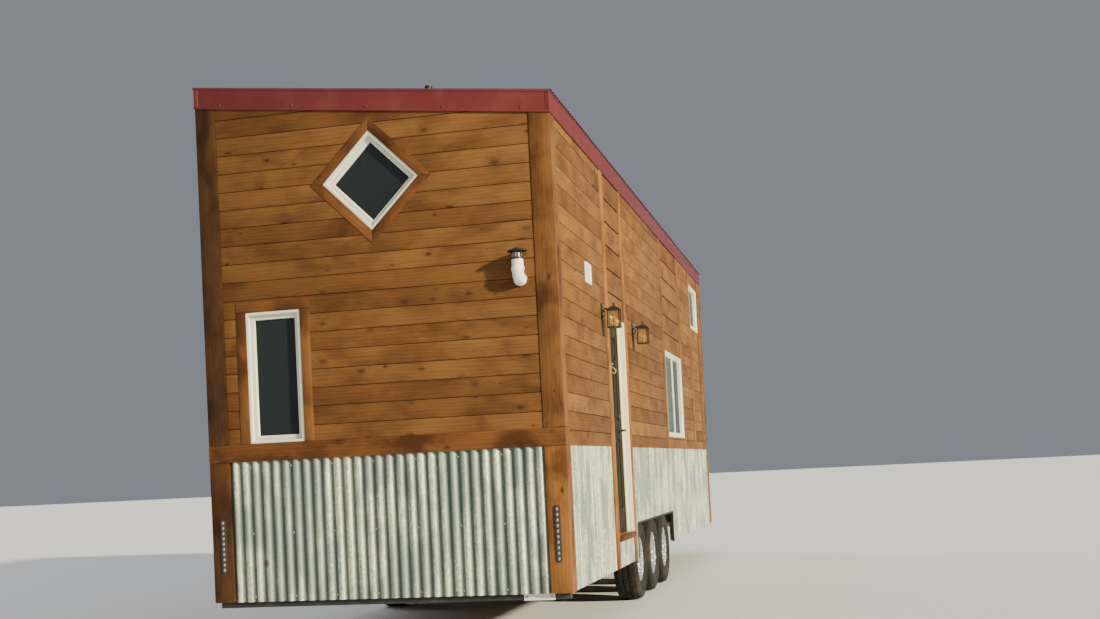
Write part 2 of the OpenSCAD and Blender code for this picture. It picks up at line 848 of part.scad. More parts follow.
// Lever handles on both faces of the leaf, with a deadbolt's cylinder outside and its thumb turn inside
module door_handle() {
    lever_l = 115;
    lever_x = 48;
    bolt_z = 115;
    color("black") placed()
        for (out = [0, 1])
            translate([out == 1 ? leaf_out_x : leaf_in_x, handle_y, handle_z])
                mirror([1 - out, 0, 0]) {
                    rotate([0, 90, 0]) cylinder(r1 = 28, r2 = 25, h = 9);
                    rotate([0, 90, 0]) cylinder(r = 10, h = lever_x + 2);
                    translate([lever_x, 0, 0]) {
                        sphere(r = 10);
                        rotate([90, 0, 0]) cylinder(r1 = 10, r2 = 7, h = lever_l);
                        translate([0, -lever_l, 0]) sphere(r = 7);
                    }
                    translate([0, 0, bolt_z]) {
                        rotate([0, 90, 0]) cylinder(r1 = 27, r2 = 23, h = 10);
                        if (out == 1) rotate([0, 90, 0]) cylinder(r = 14, h = 13);
                        else block([9, -4, -15], [28, 4, 15]);
                    }
                }
}

// Infill boards over the doorway and the wide window

joint_w = 12;

// Boards with dark open joints between them on a backing, from z0 up to the fascia
module infill(y0, y1, z0) {
    top_at = roof_top(half_w) - fascia_h;
    backing = 6;
    set_back = 8;
    n = round((top_at - z0) / 200);
    pitch = (top_at - z0) / n;
    block([wall_x, y0, z0], [wall_x + backing, y1, top_at]);
    for (i = [0 : n - 1])
        block([wall_x + backing - eps, y0, z0 + i * pitch + (i > 0 ? joint_w / 2 : 0)],
              [half_w - set_back, y1, z0 + (i + 1) * pitch - (i < n - 1 ? joint_w / 2 : 0)]);
}

module infill_panels() {
    color(siding_color) placed() {
        infill(rough_y0, rough_y1, rough_top);
        infill(wide_y, wide_y + wide_w, sill_z + low_win_h);
    }
}

// Windows

casing_w = 72;
diamond_casing = 93;

module diamond_ring(r_out, r_in, y0, y1) {
    difference() {
        diamond_hole(r_out, y0, y1);
        diamond_hole(r_in, y0 - eps, y1 + eps);
    }
}

// Flat trims beside the windows of the +X wall, from the skirt to the fascia
module side_casings() {
    top_at = roof_top(half_w) - fascia_h;
    for (y = [wide_y - trim_w, wide_y + wide_w, loft_y - trim_w, loft_y + loft_w])
        block([wall_x, y, band_z], [half_w, y + trim_w, top_at]);
}

// Casing on three sides of a window in an end wall
module end_casing(x, z, w, h) {
    difference() {
        block([x - w / 2 - casing_w, 0, z], [x + w / 2 + casing_w, board_t, z + h + casing_w]);
        block([x - w / 2, -eps, z - eps], [x + w / 2, board_t + eps, z + h]);
    }
}

module window_casings() {
    color(trim_color) placed() {
        diamond_ring(diamond_r + diamond_casing, diamond_r, 0, board_t);
        end_casing(tall_x, band_top, tall_w, sill_z + low_win_h - band_top);
        on_both_sides() side_casings();
        translate([0, body_l, 0]) mirror([0, 1, 0]) end_casing(0, loft_z, loft_w, loft_h);
    }
}

frame_face = 18;
frame_d = 80;
win_bar = 54;
// Width of the outer frame, and how far the sash lies behind its face
frame_w = 26;
sash_back = 14;
// Half width of the slider's meeting stile
stile_half = 22;
// The same bars measured along the diagonal of the diamond window
diamond_bar = 76;
diamond_frame_w = 37;
glass_back = 24;

// Window in the Y-Z plane of the +X wall: an outer frame with its sash set back in it
module side_frame(y, z, w, h) {
    difference() {
        block([wall_x + frame_face - frame_d, y, z], [wall_x + frame_face, y + w, z + h]);
        block([wall_in_x, y + win_bar, z + win_bar], [half_w, y + w - win_bar, z + h - win_bar]);
        block([wall_x + frame_face - sash_back, y + frame_w, z + frame_w],
              [half_w, y + w - frame_w, z + h - frame_w]);
    }
}

module end_frame(x, z, w, h) {
    face_y = wall_y0 - frame_face;
    difference() {
        block([x - w / 2, face_y, z], [x + w / 2, face_y + frame_d, z + h]);
        block([x - w / 2 + win_bar, -50, z + win_bar],
              [x + w / 2 - win_bar, wall_y0 + wall_t, z + h - win_bar]);
        block([x - w / 2 + frame_w, -50, z + frame_w],
              [x + w / 2 - frame_w, face_y + sash_back, z + h - frame_w]);
    }
}

module side_window_frames() {
    side_frame(wide_y, sill_z, wide_w, low_win_h);
    // Meeting stile of the slider
    block([wall_x - 40, wide_y + wide_w / 2 - stile_half, sill_z + win_bar - eps],
          [wall_x + 4, wide_y + wide_w / 2 + stile_half, sill_z + low_win_h - win_bar + eps]);
    side_frame(loft_y, loft_z, loft_w, loft_h);
}

module window_frames() {
    face_y = wall_y0 - frame_face;
    color("white") placed() {
        difference() {
            diamond_ring(diamond_r, diamond_r - diamond_bar, face_y, face_y + frame_d);
            diamond_hole(diamond_r - diamond_frame_w, face_y - eps, face_y + sash_back);
        }
        end_frame(tall_x, sill_z, tall_w, low_win_h);
        on_both_sides() side_window_frames();
        translate([0, body_l, 0]) mirror([0, 1, 0]) end_frame(0, loft_z, loft_w, loft_h);
    }
}

glass_t = 12;

module side_glass(y, z, w, h) {
    block([wall_x - glass_back - glass_t, y, z], [wall_x - glass_back, y + w, z + h]);
}

module side_window_glass() {
    half = wide_w / 2 - stile_half - win_bar;
    for (y = [wide_y + win_bar, wide_y + wide_w / 2 + stile_half])
        side_glass(y, sill_z + win_bar, half, low_win_h - 2 * win_bar);
    side_glass(loft_y + win_bar, loft_z + win_bar, loft_w - 2 * win_bar, loft_h - 2 * win_bar);
}

module window_glass() {
    glass_y = wall_y0 + glass_back;
    color("#8090a080") placed() {
        diamond_hole(diamond_r - diamond_bar, glass_y, glass_y + glass_t);
        block([tall_x - tall_w / 2 + win_bar, glass_y, sill_z + win_bar],
              [tall_x + tall_w / 2 - win_bar, glass_y + glass_t, sill_z + low_win_h - win_bar]);
        on_both_sides() side_window_glass();
        block([-loft_w / 2 + win_bar, body_l - glass_y - glass_t, loft_z + win_bar],
              [loft_w / 2 - win_bar, body_l - glass_y, loft_z + loft_h - win_bar]);
    }
}

// Fittings

lantern_y = [1710, 3310];
lantern_z = 2470;

// Coach lantern: wall plate, scroll arm, domed roof with a finial, tapered cage and glass
module lantern() {
    lamp_x = 100;
    plate_t = 8;
    plate_r = 28;
    plate_z = [-70, 60];
    arm_z = 78;
    scroll_r = 52;
    block([0, -plate_r, plate_z[0]], [plate_t, plate_r, plate_z[1]]);
    for (z = plate_z) translate([0, 0, z]) rotate([0, 90, 0]) cylinder(r = plate_r, h = plate_t);
    translate([plate_t - 1, 0, arm_z]) rotate([0, 90, 0]) cylinder(r = 6, h = lamp_x - plate_t + 1);
    translate([plate_t, 0, arm_z]) rotate([90, 0, 0]) rotate([0, 0, -90])
        rotate_extrude(angle = 90) translate([scroll_r, 0]) circle(5);
    translate([lamp_x, 0, 0]) {
        rotate_extrude()
            polygon([[0, 97], [6, 95], [8, 89], [6, 84], [7, 70], [12, 62], [16, 56], [34, 48],
                     [48, 38], [56, 27], [65, 22], [65, 16], [54, 14], [54, 8], [0, 8]]);
        rotate_extrude()
            polygon([[0, -112], [42, -112], [44, -118], [34, -124], [14, -128], [10, -138], [0, -142]]);
        for (a = [45 : 90 : 315])
            rotate([0, 0, a]) translate([40, 0, -113]) rotate([0, 4.5, 0]) cylinder(r = 4, h = 124, $fn = 16);
        translate([0, 0, -50]) difference() {
            cylinder(r = 49, h = 5);
            translate([0, 0, -eps]) cylinder(r = 43, h = 7);
        }
        translate([0, 0, -113]) cylinder(r1 = 30, r2 = 36, h = 122);
    }
}

module lanterns() {
    color("black") placed()
        for (y = lantern_y) translate([wall_x, y, lantern_z]) lantern();
}

pipe_r = 40;
pipe_x = 1038;
elbow_z = 2520;
pipe_top = 2645;
roof_pipe = [412, 150];

// Plastic vent pipe with an elbow and its sockets, and a louvred vent plate on the +X wall
module wall_vents() {
    bend_r = 50;
    socket_r = pipe_r + 5;
    plate_y = [1020, 1300];
    plate_z = [2620, 2790];
    plate_t = 16;
    color("white") placed() {
        translate([pipe_x, vent_pipe_y, elbow_z]) {
            translate([0, 0, bend_r]) {
                translate([0, bend_r, 0]) rotate([0, 90, 0]) rotate([0, 0, -90])
                    rotate_extrude(angle = 90) translate([bend_r, 0]) circle(pipe_r);
                cylinder(r = socket_r, h = 26);
                cylinder(r = pipe_r, h = pipe_top - elbow_z - bend_r);
            }
            translate([0, bend_r, 0]) rotate([-90, 0, 0]) {
                cylinder(r = pipe_r, h = wall_y0 - vent_pipe_y - bend_r);
                cylinder(r = socket_r, h = 20);
            }
        }
        block([wall_x, plate_y[0], plate_z[0]], [wall_x + plate_t, plate_y[1], plate_z[1]]);
        for (z = [plate_z[0] + 16 : 36 : plate_z[1] - 46])
            translate([wall_x + plate_t - 1, 0, z])
                along_y(plate_y[0] + 14, plate_y[1] - 14) polygon([[0, 0], [15, 0], [15, 4], [0, 30]]);
    }
}

// Slotted collar with its conical hood, the same on the wall pipe and on the roof pipe
module vent_hood(r) {
    slots = 12;
    difference() {
        rotate_extrude() polygon([[r - 4, 0], [r + 3, 0], [r + 3, 58], [r - 4, 58]]);
        for (i = [0 : slots - 1])
            rotate([0, 0, i * 360 / slots]) block([r - 10, -5, 14], [r + 10, 5, 50]);
    }
    rotate_extrude()
        polygon([[0, 57], [cap_r - 3, 57], [cap_r, 54], [cap_r, 60],
                 [cap_r - 16, 68], [26, 86], [20, 91], [0, 92]]);
    rotate_extrude() polygon([[0, 4], [r - 14, 4], [r - 14, 58], [0, 58]]);
    cylinder(r = r - 3, h = 6);
}

module vent_caps() {
    pipe = [roof_pipe[0], roof_pipe[1], roof_top(roof_pipe[0]) + hair];
    pipe_h = 44;
    flashing_h = 12;
    color("#202020") placed() {
        translate([pipe_x, vent_pipe_y, pipe_top]) vent_hood(pipe_r);
        // Pipe through the roof: its flashing lies on the slope and holds the pipe's lower end
        translate(pipe) {
            rotate([0, roof_angle, 0]) cylinder(r1 = 80, r2 = 45, h = flashing_h);
            rotate_extrude()
                polygon([[0, flashing_h / 2], [25, flashing_h / 2], [25, pipe_h - 12],
                         [28, pipe_h], [0, pipe_h]]);
        }
    }
}

// Slim lamp strip on each rear corner board: a round-ended base with a column of raised lenses
module light_strips() {
    base_t = 5;
    base_r = 28;
    strip_x = 1210;
    z = [628, 957];
    lenses = 10;
    color("silver") placed()
        for (s = [-1, 1]) translate([s * strip_x, 0, 0]) {
            block([-base_r, -base_t, z[0]], [base_r, 0, z[1]]);
            for (end = z) translate([0, 0, end]) rotate([90, 0, 0]) cylinder(r = base_r, h = base_t);
            for (i = [0 : lenses - 1])
                translate([0, 1 - base_t, z[0] + i * (z[1] - z[0]) / (lenses - 1)])
                    difference() {
                        rotate([0, 90, 0])
                            rotate_extrude() polygon([[0, -25], [8, -23], [12, -18], [13, -12],
                                                      [13, 12], [12, 18], [8, 23], [0, 25]]);
                        block([-30, 0, -20], [30, 20, 20]);
                    }
        }
}

main_rails();
crossmembers();
tongue();
coupler();
tongue_jack();
rear_bumper();
holding_tank();
axles();
leaf_springs();
wheel_wells();
tyre_right_rear();
tyre_right_mid();
tyre_right_front();
tyre_left_rear();
tyre_left_mid();
tyre_left_front();
wheel_right_rear();
wheel_right_mid();
wheel_right_front();
wheel_left_rear();
wheel_left_mid();
wheel_left_front();
floor();
rim_boards();
rear_wall();
left_wall();
front_wall();
right_wall_rear();
right_wall_over_door();
right_wall_front();
roof_deck();
roof_sheet();
fascia();
corner_boards();
band_boards();
corrugated_skirt();
door_frame();
door_surround();
door_leaf();
door_handle();
infill_panels();
window_casings();
window_frames();
window_glass();
lanterns();
wall_vents();
vent_caps();
light_strips();
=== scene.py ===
# Looks of the tiny house on wheels: boards, corrugated sheets, windows, lanterns, tyres and the studio
import math
import random

import bpy
from mathutils import Matrix, Vector


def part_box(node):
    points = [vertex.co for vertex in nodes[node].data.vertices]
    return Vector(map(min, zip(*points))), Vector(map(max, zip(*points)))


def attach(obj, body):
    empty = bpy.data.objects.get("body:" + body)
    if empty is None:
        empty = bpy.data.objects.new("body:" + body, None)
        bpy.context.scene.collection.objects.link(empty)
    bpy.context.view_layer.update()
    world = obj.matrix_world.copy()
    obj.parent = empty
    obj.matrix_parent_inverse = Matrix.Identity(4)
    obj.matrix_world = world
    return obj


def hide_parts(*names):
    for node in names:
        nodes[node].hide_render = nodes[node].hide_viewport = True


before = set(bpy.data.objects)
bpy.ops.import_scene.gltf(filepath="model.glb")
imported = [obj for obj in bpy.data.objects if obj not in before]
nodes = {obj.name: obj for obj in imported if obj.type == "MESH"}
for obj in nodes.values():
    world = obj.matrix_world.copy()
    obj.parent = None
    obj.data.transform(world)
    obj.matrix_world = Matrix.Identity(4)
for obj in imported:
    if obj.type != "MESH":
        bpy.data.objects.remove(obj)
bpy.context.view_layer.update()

# The house's own frame: X from its centre line, Y from its rear face, Z from the ground, in metres. The band
# is the flat board between the skirt and the siding.
cornerLow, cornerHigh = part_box("corner_boards")
bandLow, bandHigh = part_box("band_boards")
house = {
    "midX": (cornerLow.x + cornerHigh.x) / 2,
    "rearY": cornerLow.y,
    "halfWidth": (cornerHigh.x - cornerLow.x) / 2,
    "length": cornerHigh.y - cornerLow.y,
    "boardThick": 0.025,
    "cornerWidth": 0.150,
    "fasciaHeight": 0.168,
    "skirtZ": cornerLow.z,
    "bandZ": bandLow.z,
    "bandTop": bandHigh.z,
    "roofMid": 3.949,
    "roofSlope": 0.298 / 2.590,
}
halfWidth = house["halfWidth"]
wallX = halfWidth - house["boardThick"]
thick = house["boardThick"]
length = house["length"]
cornerWidth = house["cornerWidth"]
bandZ = house["bandZ"]
slopeNormal = Vector((house["roofSlope"], 0, 1)).normalized()
rng = random.Random(7)
through = 0.1  # how far a cutter reaches on each side of a wall
mergeGap = 0.00002  # points closer than this are one
flatAngle = 0.6  # faces that differ by less, in degrees, are one


def at(x, y, z):
    return Vector((x + house["midX"], y + house["rearY"], z))


def roofLine(x):
    # height of the fascia's top edge at a distance x from the centre line
    return house["roofMid"] - house["roofSlope"] * x


def fasciaFoot(x):
    return roofLine(x) - house["fasciaHeight"]


print("frame loaded", len(nodes), "nodes")


# picking, placing and joining
def deselectAll():
    bpy.ops.object.select_all(action="DESELECT")


def pick(obj):
    deselectAll()
    obj.select_set(True)
    bpy.context.view_layer.objects.active = obj
    return obj


def settle(obj):
    # puts an object's place into its mesh
    pick(obj)
    bpy.ops.object.transform_apply(location=True, rotation=True, scale=True)
    return obj


def moveInto(obj, location, turn=(0, 0, 0)):
    obj.location = location
    obj.rotation_euler = [math.radians(angle) for angle in turn]
    return settle(obj)


def useModifier(obj, kind, **settings):
    pick(obj)
    modifier = obj.modifiers.new(kind.lower(), kind)
    for key, value in settings.items():
        setattr(modifier, key, value)
    bpy.ops.object.modifier_apply(modifier=modifier.name)
    return obj


def softEdges(obj, width, segments=2, angle=35):
    return useModifier(obj, "BEVEL", width=width, segments=segments, limit_method="ANGLE",
                       angle_limit=math.radians(angle))


def smooth(obj, angle):
    pick(obj)
    bpy.ops.object.shade_smooth_by_angle(angle=math.radians(angle))
    return obj


def openMesh(obj):
    # edit mode with all of the mesh selected
    pick(obj)
    bpy.ops.object.mode_set(mode="EDIT")
    bpy.ops.mesh.select_all(action="SELECT")


def faceOut(obj):
    openMesh(obj)
    bpy.ops.mesh.remove_doubles(threshold=mergeGap)
    bpy.ops.mesh.normals_make_consistent(inside=False)
    bpy.ops.object.mode_set(mode="OBJECT")
    return obj


def addBlock(corner, opposite):
    # a block between two opposite corners
    deselectAll()
    corner, opposite = Vector(corner), Vector(opposite)
    bpy.ops.mesh.primitive_cube_add(size=1, location=(corner + opposite) / 2)
    block = bpy.context.object
    block.scale = [abs(reach) for reach in opposite - corner]
    return settle(block)


def roundBlock(corner, opposite, edge, segments=2):
    return softEdges(addBlock(corner, opposite), edge, segments)


def joinAll(parts):
    deselectAll()
    for part in parts:
        part.select_set(True)
    bpy.context.view_layer.objects.active = parts[0]
    if len(parts) > 1:
        bpy.ops.object.join()
    return parts[0]


def repeatAlong(obj, count, step, **more):
    return useModifier(obj, "ARRAY", count=count, use_relative_offset=False, use_constant_offset=True,
                       constant_offset_displace=step, **more)


def copyOf(obj):
    twin = obj.copy()
    twin.data = obj.data.copy()
    bpy.context.scene.collection.objects.link(twin)
    return twin


def cutOut(obj, cutter):
    useModifier(obj, "BOOLEAN", operation="DIFFERENCE", solver="EXACT", object=cutter)
    bpy.data.objects.remove(cutter)
    return obj


def cutEnd(obj, y, x, half, low, high):
    # a square hole through an end wall whose face is at y
    return cutOut(obj, addBlock(at(x - half, y - through, low), at(x + half, y + through, high)))


def cutSide(obj, side, start, stop, low, high):
    # a square hole through a side wall, the right one for 1 and the left one for -1
    near, far = side * wallX - through, side * wallX + through
    return cutOut(obj, addBlock(at(near, start, low), at(far, stop, high)))


def trimAbove(obj, point, normal):
    # cuts away what lies beyond a plane and closes the cut
    openMesh(obj)
    bpy.ops.mesh.bisect(plane_co=point, plane_no=normal, use_fill=True, clear_outer=True)
    bpy.ops.object.mode_set(mode="OBJECT")
    return obj


def turnShape(profile, steps, closed=False):
    # profile is a list of radius and height: a circle is extruded and resized from one to the next. A closed
    # one ends where it starts, as a ring.
    deselectAll()
    radius, height = profile[0]
    bpy.ops.mesh.primitive_circle_add(vertices=steps, radius=radius, location=(0, 0, height),
                                      fill_type="NOTHING" if closed else "NGON")
    shape = settle(bpy.context.object)
    openMesh(shape)
    extrude = bpy.ops.mesh.extrude_edges_move if closed else bpy.ops.mesh.extrude_region_move
    for nextRadius, nextHeight in profile[1:]:
        extrude(TRANSFORM_OT_translate={"value": (0, 0, nextHeight - height)})
        ratio = nextRadius / radius
        bpy.ops.transform.resize(value=(ratio, ratio, 1), center_override=(0, 0, nextHeight))
        radius, height = nextRadius, nextHeight
    bpy.ops.object.mode_set(mode="OBJECT")
    return faceOut(shape)


def setGrain(obj, axis, tone=None):
    # writes how the grain of one board runs: along is metres along the board, tone is its own shade
    mesh = obj.data
    grain = mesh.uv_layers.get("grain") or mesh.uv_layers.new(name="grain")
    startAlong = rng.uniform(0, 40)
    startAcross = rng.uniform(0, 40)
    others = [i for i in range(3) if i != axis]
    for loop in mesh.loops:
        co = mesh.vertices[loop.vertex_index].co
        grain.data[loop.index].uv = (co[axis] + startAlong, co[others[0]] + co[others[1]] + startAcross)
    mesh.uv_layers.active = grain
    shade = mesh.attributes.get("tone") or mesh.attributes.new("tone", "FLOAT", "FACE")
    value = rng.random() if tone is None else tone
    for item in shade.data:
        item.value = value
    return obj


def finishPiece(name, parts, material, slot, *replaced, body="house", angle=35):
    # joins and smooths the parts of a piece, then names and paints it, and hides the nodes that it replaces.
    obj = joinAll(parts) if isinstance(parts, list) else parts
    if angle:
        smooth(obj, angle)
    obj.name = obj.data.name = name
    obj.data.materials.clear()
    obj.data.materials.append(material)
    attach(obj, body)
    if replaced:
        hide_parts(*replaced)
    return obj


def refineNode(nodeName, name, material, slot, edge=0, angle=35, body="house"):
    # stands in for a CAD node with a copy whose faces are merged, with fine edges and smooth curves
    twin = copyOf(nodes[nodeName])
    twin.parent = None
    openMesh(twin)
    bpy.ops.mesh.remove_doubles(threshold=mergeGap)
    bpy.ops.mesh.dissolve_limited(angle_limit=math.radians(flatAngle))
    bpy.ops.object.mode_set(mode="OBJECT")
    if edge:
        softEdges(twin, edge, 2, 40)
    return finishPiece(name, twin, material, slot, nodeName, body=body, angle=angle)


# adding and linking the nodes of a material
def startMaterial(name):
    material = bpy.data.materials.new(name)
    material.use_nodes = True
    tree = material.node_tree
    return material, tree, tree.nodes["Principled BSDF"]


def addNode(tree, kind, values=None, links=None, **settings):
    node = tree.nodes.new("ShaderNode" + kind)
    for key, value in settings.items():
        setattr(node, key, value)
    for key, value in (values or {}).items():
        node.inputs[key].default_value = value
    for key, socket in (links or {}).items():
        tree.links.new(socket, node.inputs[key])
    return node


def fillSockets(tree, node, values):
    # a number or a colour goes onto its socket, anything else is linked to it
    for slot, value in values.items():
        if isinstance(value, (int, float)):
            node.inputs[slot].default_value = value
        elif isinstance(value, tuple):
            node.inputs[slot].default_value = (*value, 1)
        else:
            tree.links.new(value, node.inputs[slot])


def mathNode(tree, operation, first, second=0.0, third=0.0):
    node = addNode(tree, "Math", operation=operation)
    fillSockets(tree, node, {0: first, 1: second, 2: third})
    return node.outputs[0]


def blendColour(tree, factor, first, second, kind="MIX"):
    node = addNode(tree, "Mix", data_type="RGBA", blend_type=kind)
    fillSockets(tree, node, {0: factor, 6: first, 7: second})
    return node.outputs[2]


def rampNode(tree, factor, stops):
    node = tree.nodes.new("ShaderNodeValToRGB")
    ramp = node.color_ramp
    while len(ramp.elements) < len(stops):
        ramp.elements.new(0.5)
    for element, (place, colour) in zip(ramp.elements, stops):
        element.position = place
        element.color = (*colour, 1) if isinstance(colour, tuple) else (colour, colour, colour, 1)
    tree.links.new(factor, node.inputs[0])
    return node.outputs[0]


def rangeNode(tree, value, low, high, toLow, toHigh):
    node = addNode(tree, "MapRange", {1: low, 2: high, 3: toLow, 4: toHigh}, {0: value},
                   interpolation_type="SMOOTHSTEP")
    return node.outputs[0]


def noiseNode(tree, vector, scale, detail=4.0, roughness=0.55, distortion=0.0):
    node = addNode(tree, "TexNoise", {"Scale": scale, "Detail": detail, "Roughness": roughness,
                                      "Distortion": distortion}, {"Vector": vector})
    return node.outputs[0]


def stretched(tree, vector, x, y, z):
    return addNode(tree, "Mapping", {"Scale": (x, y, z)}, {"Vector": vector}).outputs[0]


def mixFigures(tree, first, second, share):
    # two patterns in one: share is the part that the first one has
    rest = mathNode(tree, "MULTIPLY", second, round(1 - share, 6))
    return mathNode(tree, "MULTIPLY_ADD", first, share, rest)


def bumpInto(tree, shader, height, strength, distance):
    bump = addNode(tree, "Bump", {"Strength": strength, "Distance": distance}, {"Height": height})
    tree.links.new(bump.outputs[0], shader.inputs["Normal"])


def fromScreen(red, green, blue):
    # a colour as seen on screen, 0 to 255, as the linear values that Blender takes
    return tuple(((v / 255 + 0.055) / 1.055) ** 2.4 if v > 10 else v / 3295 for v in (red, green, blue))


# Knotty stained boards. The pattern follows each board's own grain map: knots sit in cells, and the growth
# rings run along the board and bend round the knots.
grainLook = {"cells": (4.2, 7.6, 1), "leastKnot": 0.004, "swirlReach": 0.42, "swirl": 90, "ringCount": 250,
             "growth": (0.8, 9.0, 1), "ringWander": 22, "fibre": (7, 230, 1), "slow": (2.6, 4.6, 1),
             "ringShare": 0.22, "haloSize": 0.3, "faintKnot": 0.4, "specular": 0.18, "bump": 0.3,
             "relief": 0.0010}


def makeBoards(name, look):
    material, tree, shader = startMaterial(name)
    grain = addNode(tree, "UVMap", uv_map="grain").outputs[0]
    tone = addNode(tree, "Attribute", attribute_name="tone").outputs["Fac"]
    across = addNode(tree, "SeparateXYZ", links={0: grain}).outputs["Y"]
    cells = addNode(tree, "TexVoronoi", {"Scale": 1.0, "Randomness": 0.95},
                    {"Vector": stretched(tree, grain, *grainLook["cells"])}, voronoi_dimensions="2D")
    chances = addNode(tree, "SeparateColor", links={0: cells.outputs["Color"]}).outputs
    radius = rangeNode(tree, chances[0], look["knotFree"], 1.0, grainLook["leastKnot"], look["knotSize"])
    ratio = mathNode(tree, "DIVIDE", cells.outputs["Distance"], radius)
    swirl = mathNode(tree, "MULTIPLY",
                     rangeNode(tree, cells.outputs["Distance"], 0.0, grainLook["swirlReach"], 1.0, 0.0),
                     mathNode(tree, "MULTIPLY", radius, grainLook["swirl"]))
    growth = noiseNode(tree, stretched(tree, grain, *grainLook["growth"]), 1.0, 4, 0.5, 0.5)
    phase = mathNode(tree, "MULTIPLY_ADD", across, grainLook["ringCount"],
                     mathNode(tree, "MULTIPLY_ADD", growth, grainLook["ringWander"], swirl))
    rings = mathNode(tree, "MULTIPLY_ADD", mathNode(tree, "SINE", phase), 0.5, 0.5)
    fibre = noiseNode(tree, stretched(tree, grain, *grainLook["fibre"]), 1.0, 3, 0.6)
    slow = noiseNode(tree, stretched(tree, grain, *grainLook["slow"]), 1.0, 4, 0.55, 0.4)
    figure = mixFigures(tree, rings, fibre, grainLook["ringShare"])
    colour = rampNode(tree, figure, [(0.18, look["late"]), (0.5, look["mid"]), (0.86, look["early"])])
    shade = rampNode(tree, tone, [(0.0, look["shadeDark"]), (0.22, look["shadeRed"]), (0.6, (1.0, 1.0, 1.0)),
                                  (1.0, look["shadeLight"])])
    colour = blendColour(tree, 1.0, colour, shade, "MULTIPLY")
    # wide blotches from dark stain to fresh pale wood; the dark end is stain and also painted dappled shade
    stainAndShadeBlotch = rampNode(tree, slow, [(look["stainAndShadeFull"], look["stainAndShade"]), (look["stainAndShadeEnd"], (1.0, 1.0, 1.0)),
                                   (0.78, look["fresh"])])
    colour = blendColour(tree, 1.0, colour, stainAndShadeBlotch, "MULTIPLY")
    halo = rampNode(tree, mathNode(tree, "MULTIPLY", ratio, grainLook["haloSize"]),
                    [(0.1, 0.95), (0.3, 0.62), (0.45, 0.22), (0.9, 0.0)])
    strength = rangeNode(tree, chances[1], 0.0, 1.0, grainLook["faintKnot"], 1.0)
    colour = blendColour(tree, mathNode(tree, "MULTIPLY", halo, strength), colour, look["knot"])
    roughness = rangeNode(tree, figure, 0.1, 0.9, look["roughness"] + 0.12, look["roughness"] - 0.04)
    fillSockets(tree, shader, {"Base Color": colour, "Roughness": roughness,
                               "Specular IOR Level": grainLook["specular"]})
    bumpInto(tree, shader, figure, grainLook["bump"], grainLook["relief"])
    return material


boardLooks = {
    "siding": {
        "late": fromScreen(101, 67, 34), "mid": fromScreen(113, 77, 39), "early": fromScreen(129, 88, 46),
        "shadeDark": (0.60, 0.54, 0.52), "shadeRed": (0.84, 0.78, 0.74), "shadeLight": (1.22, 1.22, 1.14),
        "stainAndShade": (0.60, 0.55, 0.52), "stainAndShadeFull": 0.32, "stainAndShadeEnd": 0.56, "fresh": (1.20, 1.18, 1.10),
        "knot": fromScreen(50, 28, 16), "knotFree": 0.38, "knotSize": 0.1, "roughness": 0.56,
    },
    "trim": {
        "late": fromScreen(103, 67, 34), "mid": fromScreen(117, 76, 39), "early": fromScreen(132, 88, 47),
        # the trim's darkest tone is a cool painted shade, which the left-hand corner boards take
        "shadeDark": (0.30, 0.31, 0.36), "shadeRed": (0.72, 0.66, 0.64), "shadeLight": (1.50, 1.48, 1.24),
        "stainAndShade": (0.42, 0.38, 0.38), "stainAndShadeFull": 0.36, "stainAndShadeEnd": 0.56, "fresh": (1.22, 1.18, 1.06),
        "knot": fromScreen(52, 28, 15), "knotFree": 0.45, "knotSize": 0.085, "roughness": 0.52,
    },
}
sidingBoards = makeBoards("stained siding boards", boardLooks["siding"])
trimBoards = makeBoards("stained trim boards", boardLooks["trim"])


def outsideWalls(tree, place):
    # how far a place lies outside the faces that the boards and sheets are fixed to
    centre = at(0, length / 2, 0)
    axes = addNode(tree, "SeparateXYZ", links={0: place}).outputs
    sideways = mathNode(tree, "ABSOLUTE", mathNode(tree, "SUBTRACT", axes[0], centre.x))
    endways = mathNode(tree, "ABSOLUTE", mathNode(tree, "SUBTRACT", axes[1], centre.y))
    return mathNode(tree, "MAXIMUM", mathNode(tree, "SUBTRACT", sideways, wallX),
                    mathNode(tree, "SUBTRACT", endways, length / 2 - thick))


# Sawn lumber and panelling inside and underneath, patterned by place. Its outer skin behind the boards is
# near black, painted shade seen through the joints between them.
lumberLook = {"growth": (3.0, 0.5, 3.0), "growthScale": 1.6, "fibre": (60, 2.5, 60), "growthShare": 0.6,
              "groove": (0.05, 0.03, 0.02), "grooveWidth": 0.03, "grooveDark": 0.75, "grooveDeep": 2,
              "skin": (0.022, 0.012, 0.007), "skinDeep": -0.002, "bump": 0.3, "relief": 0.001}


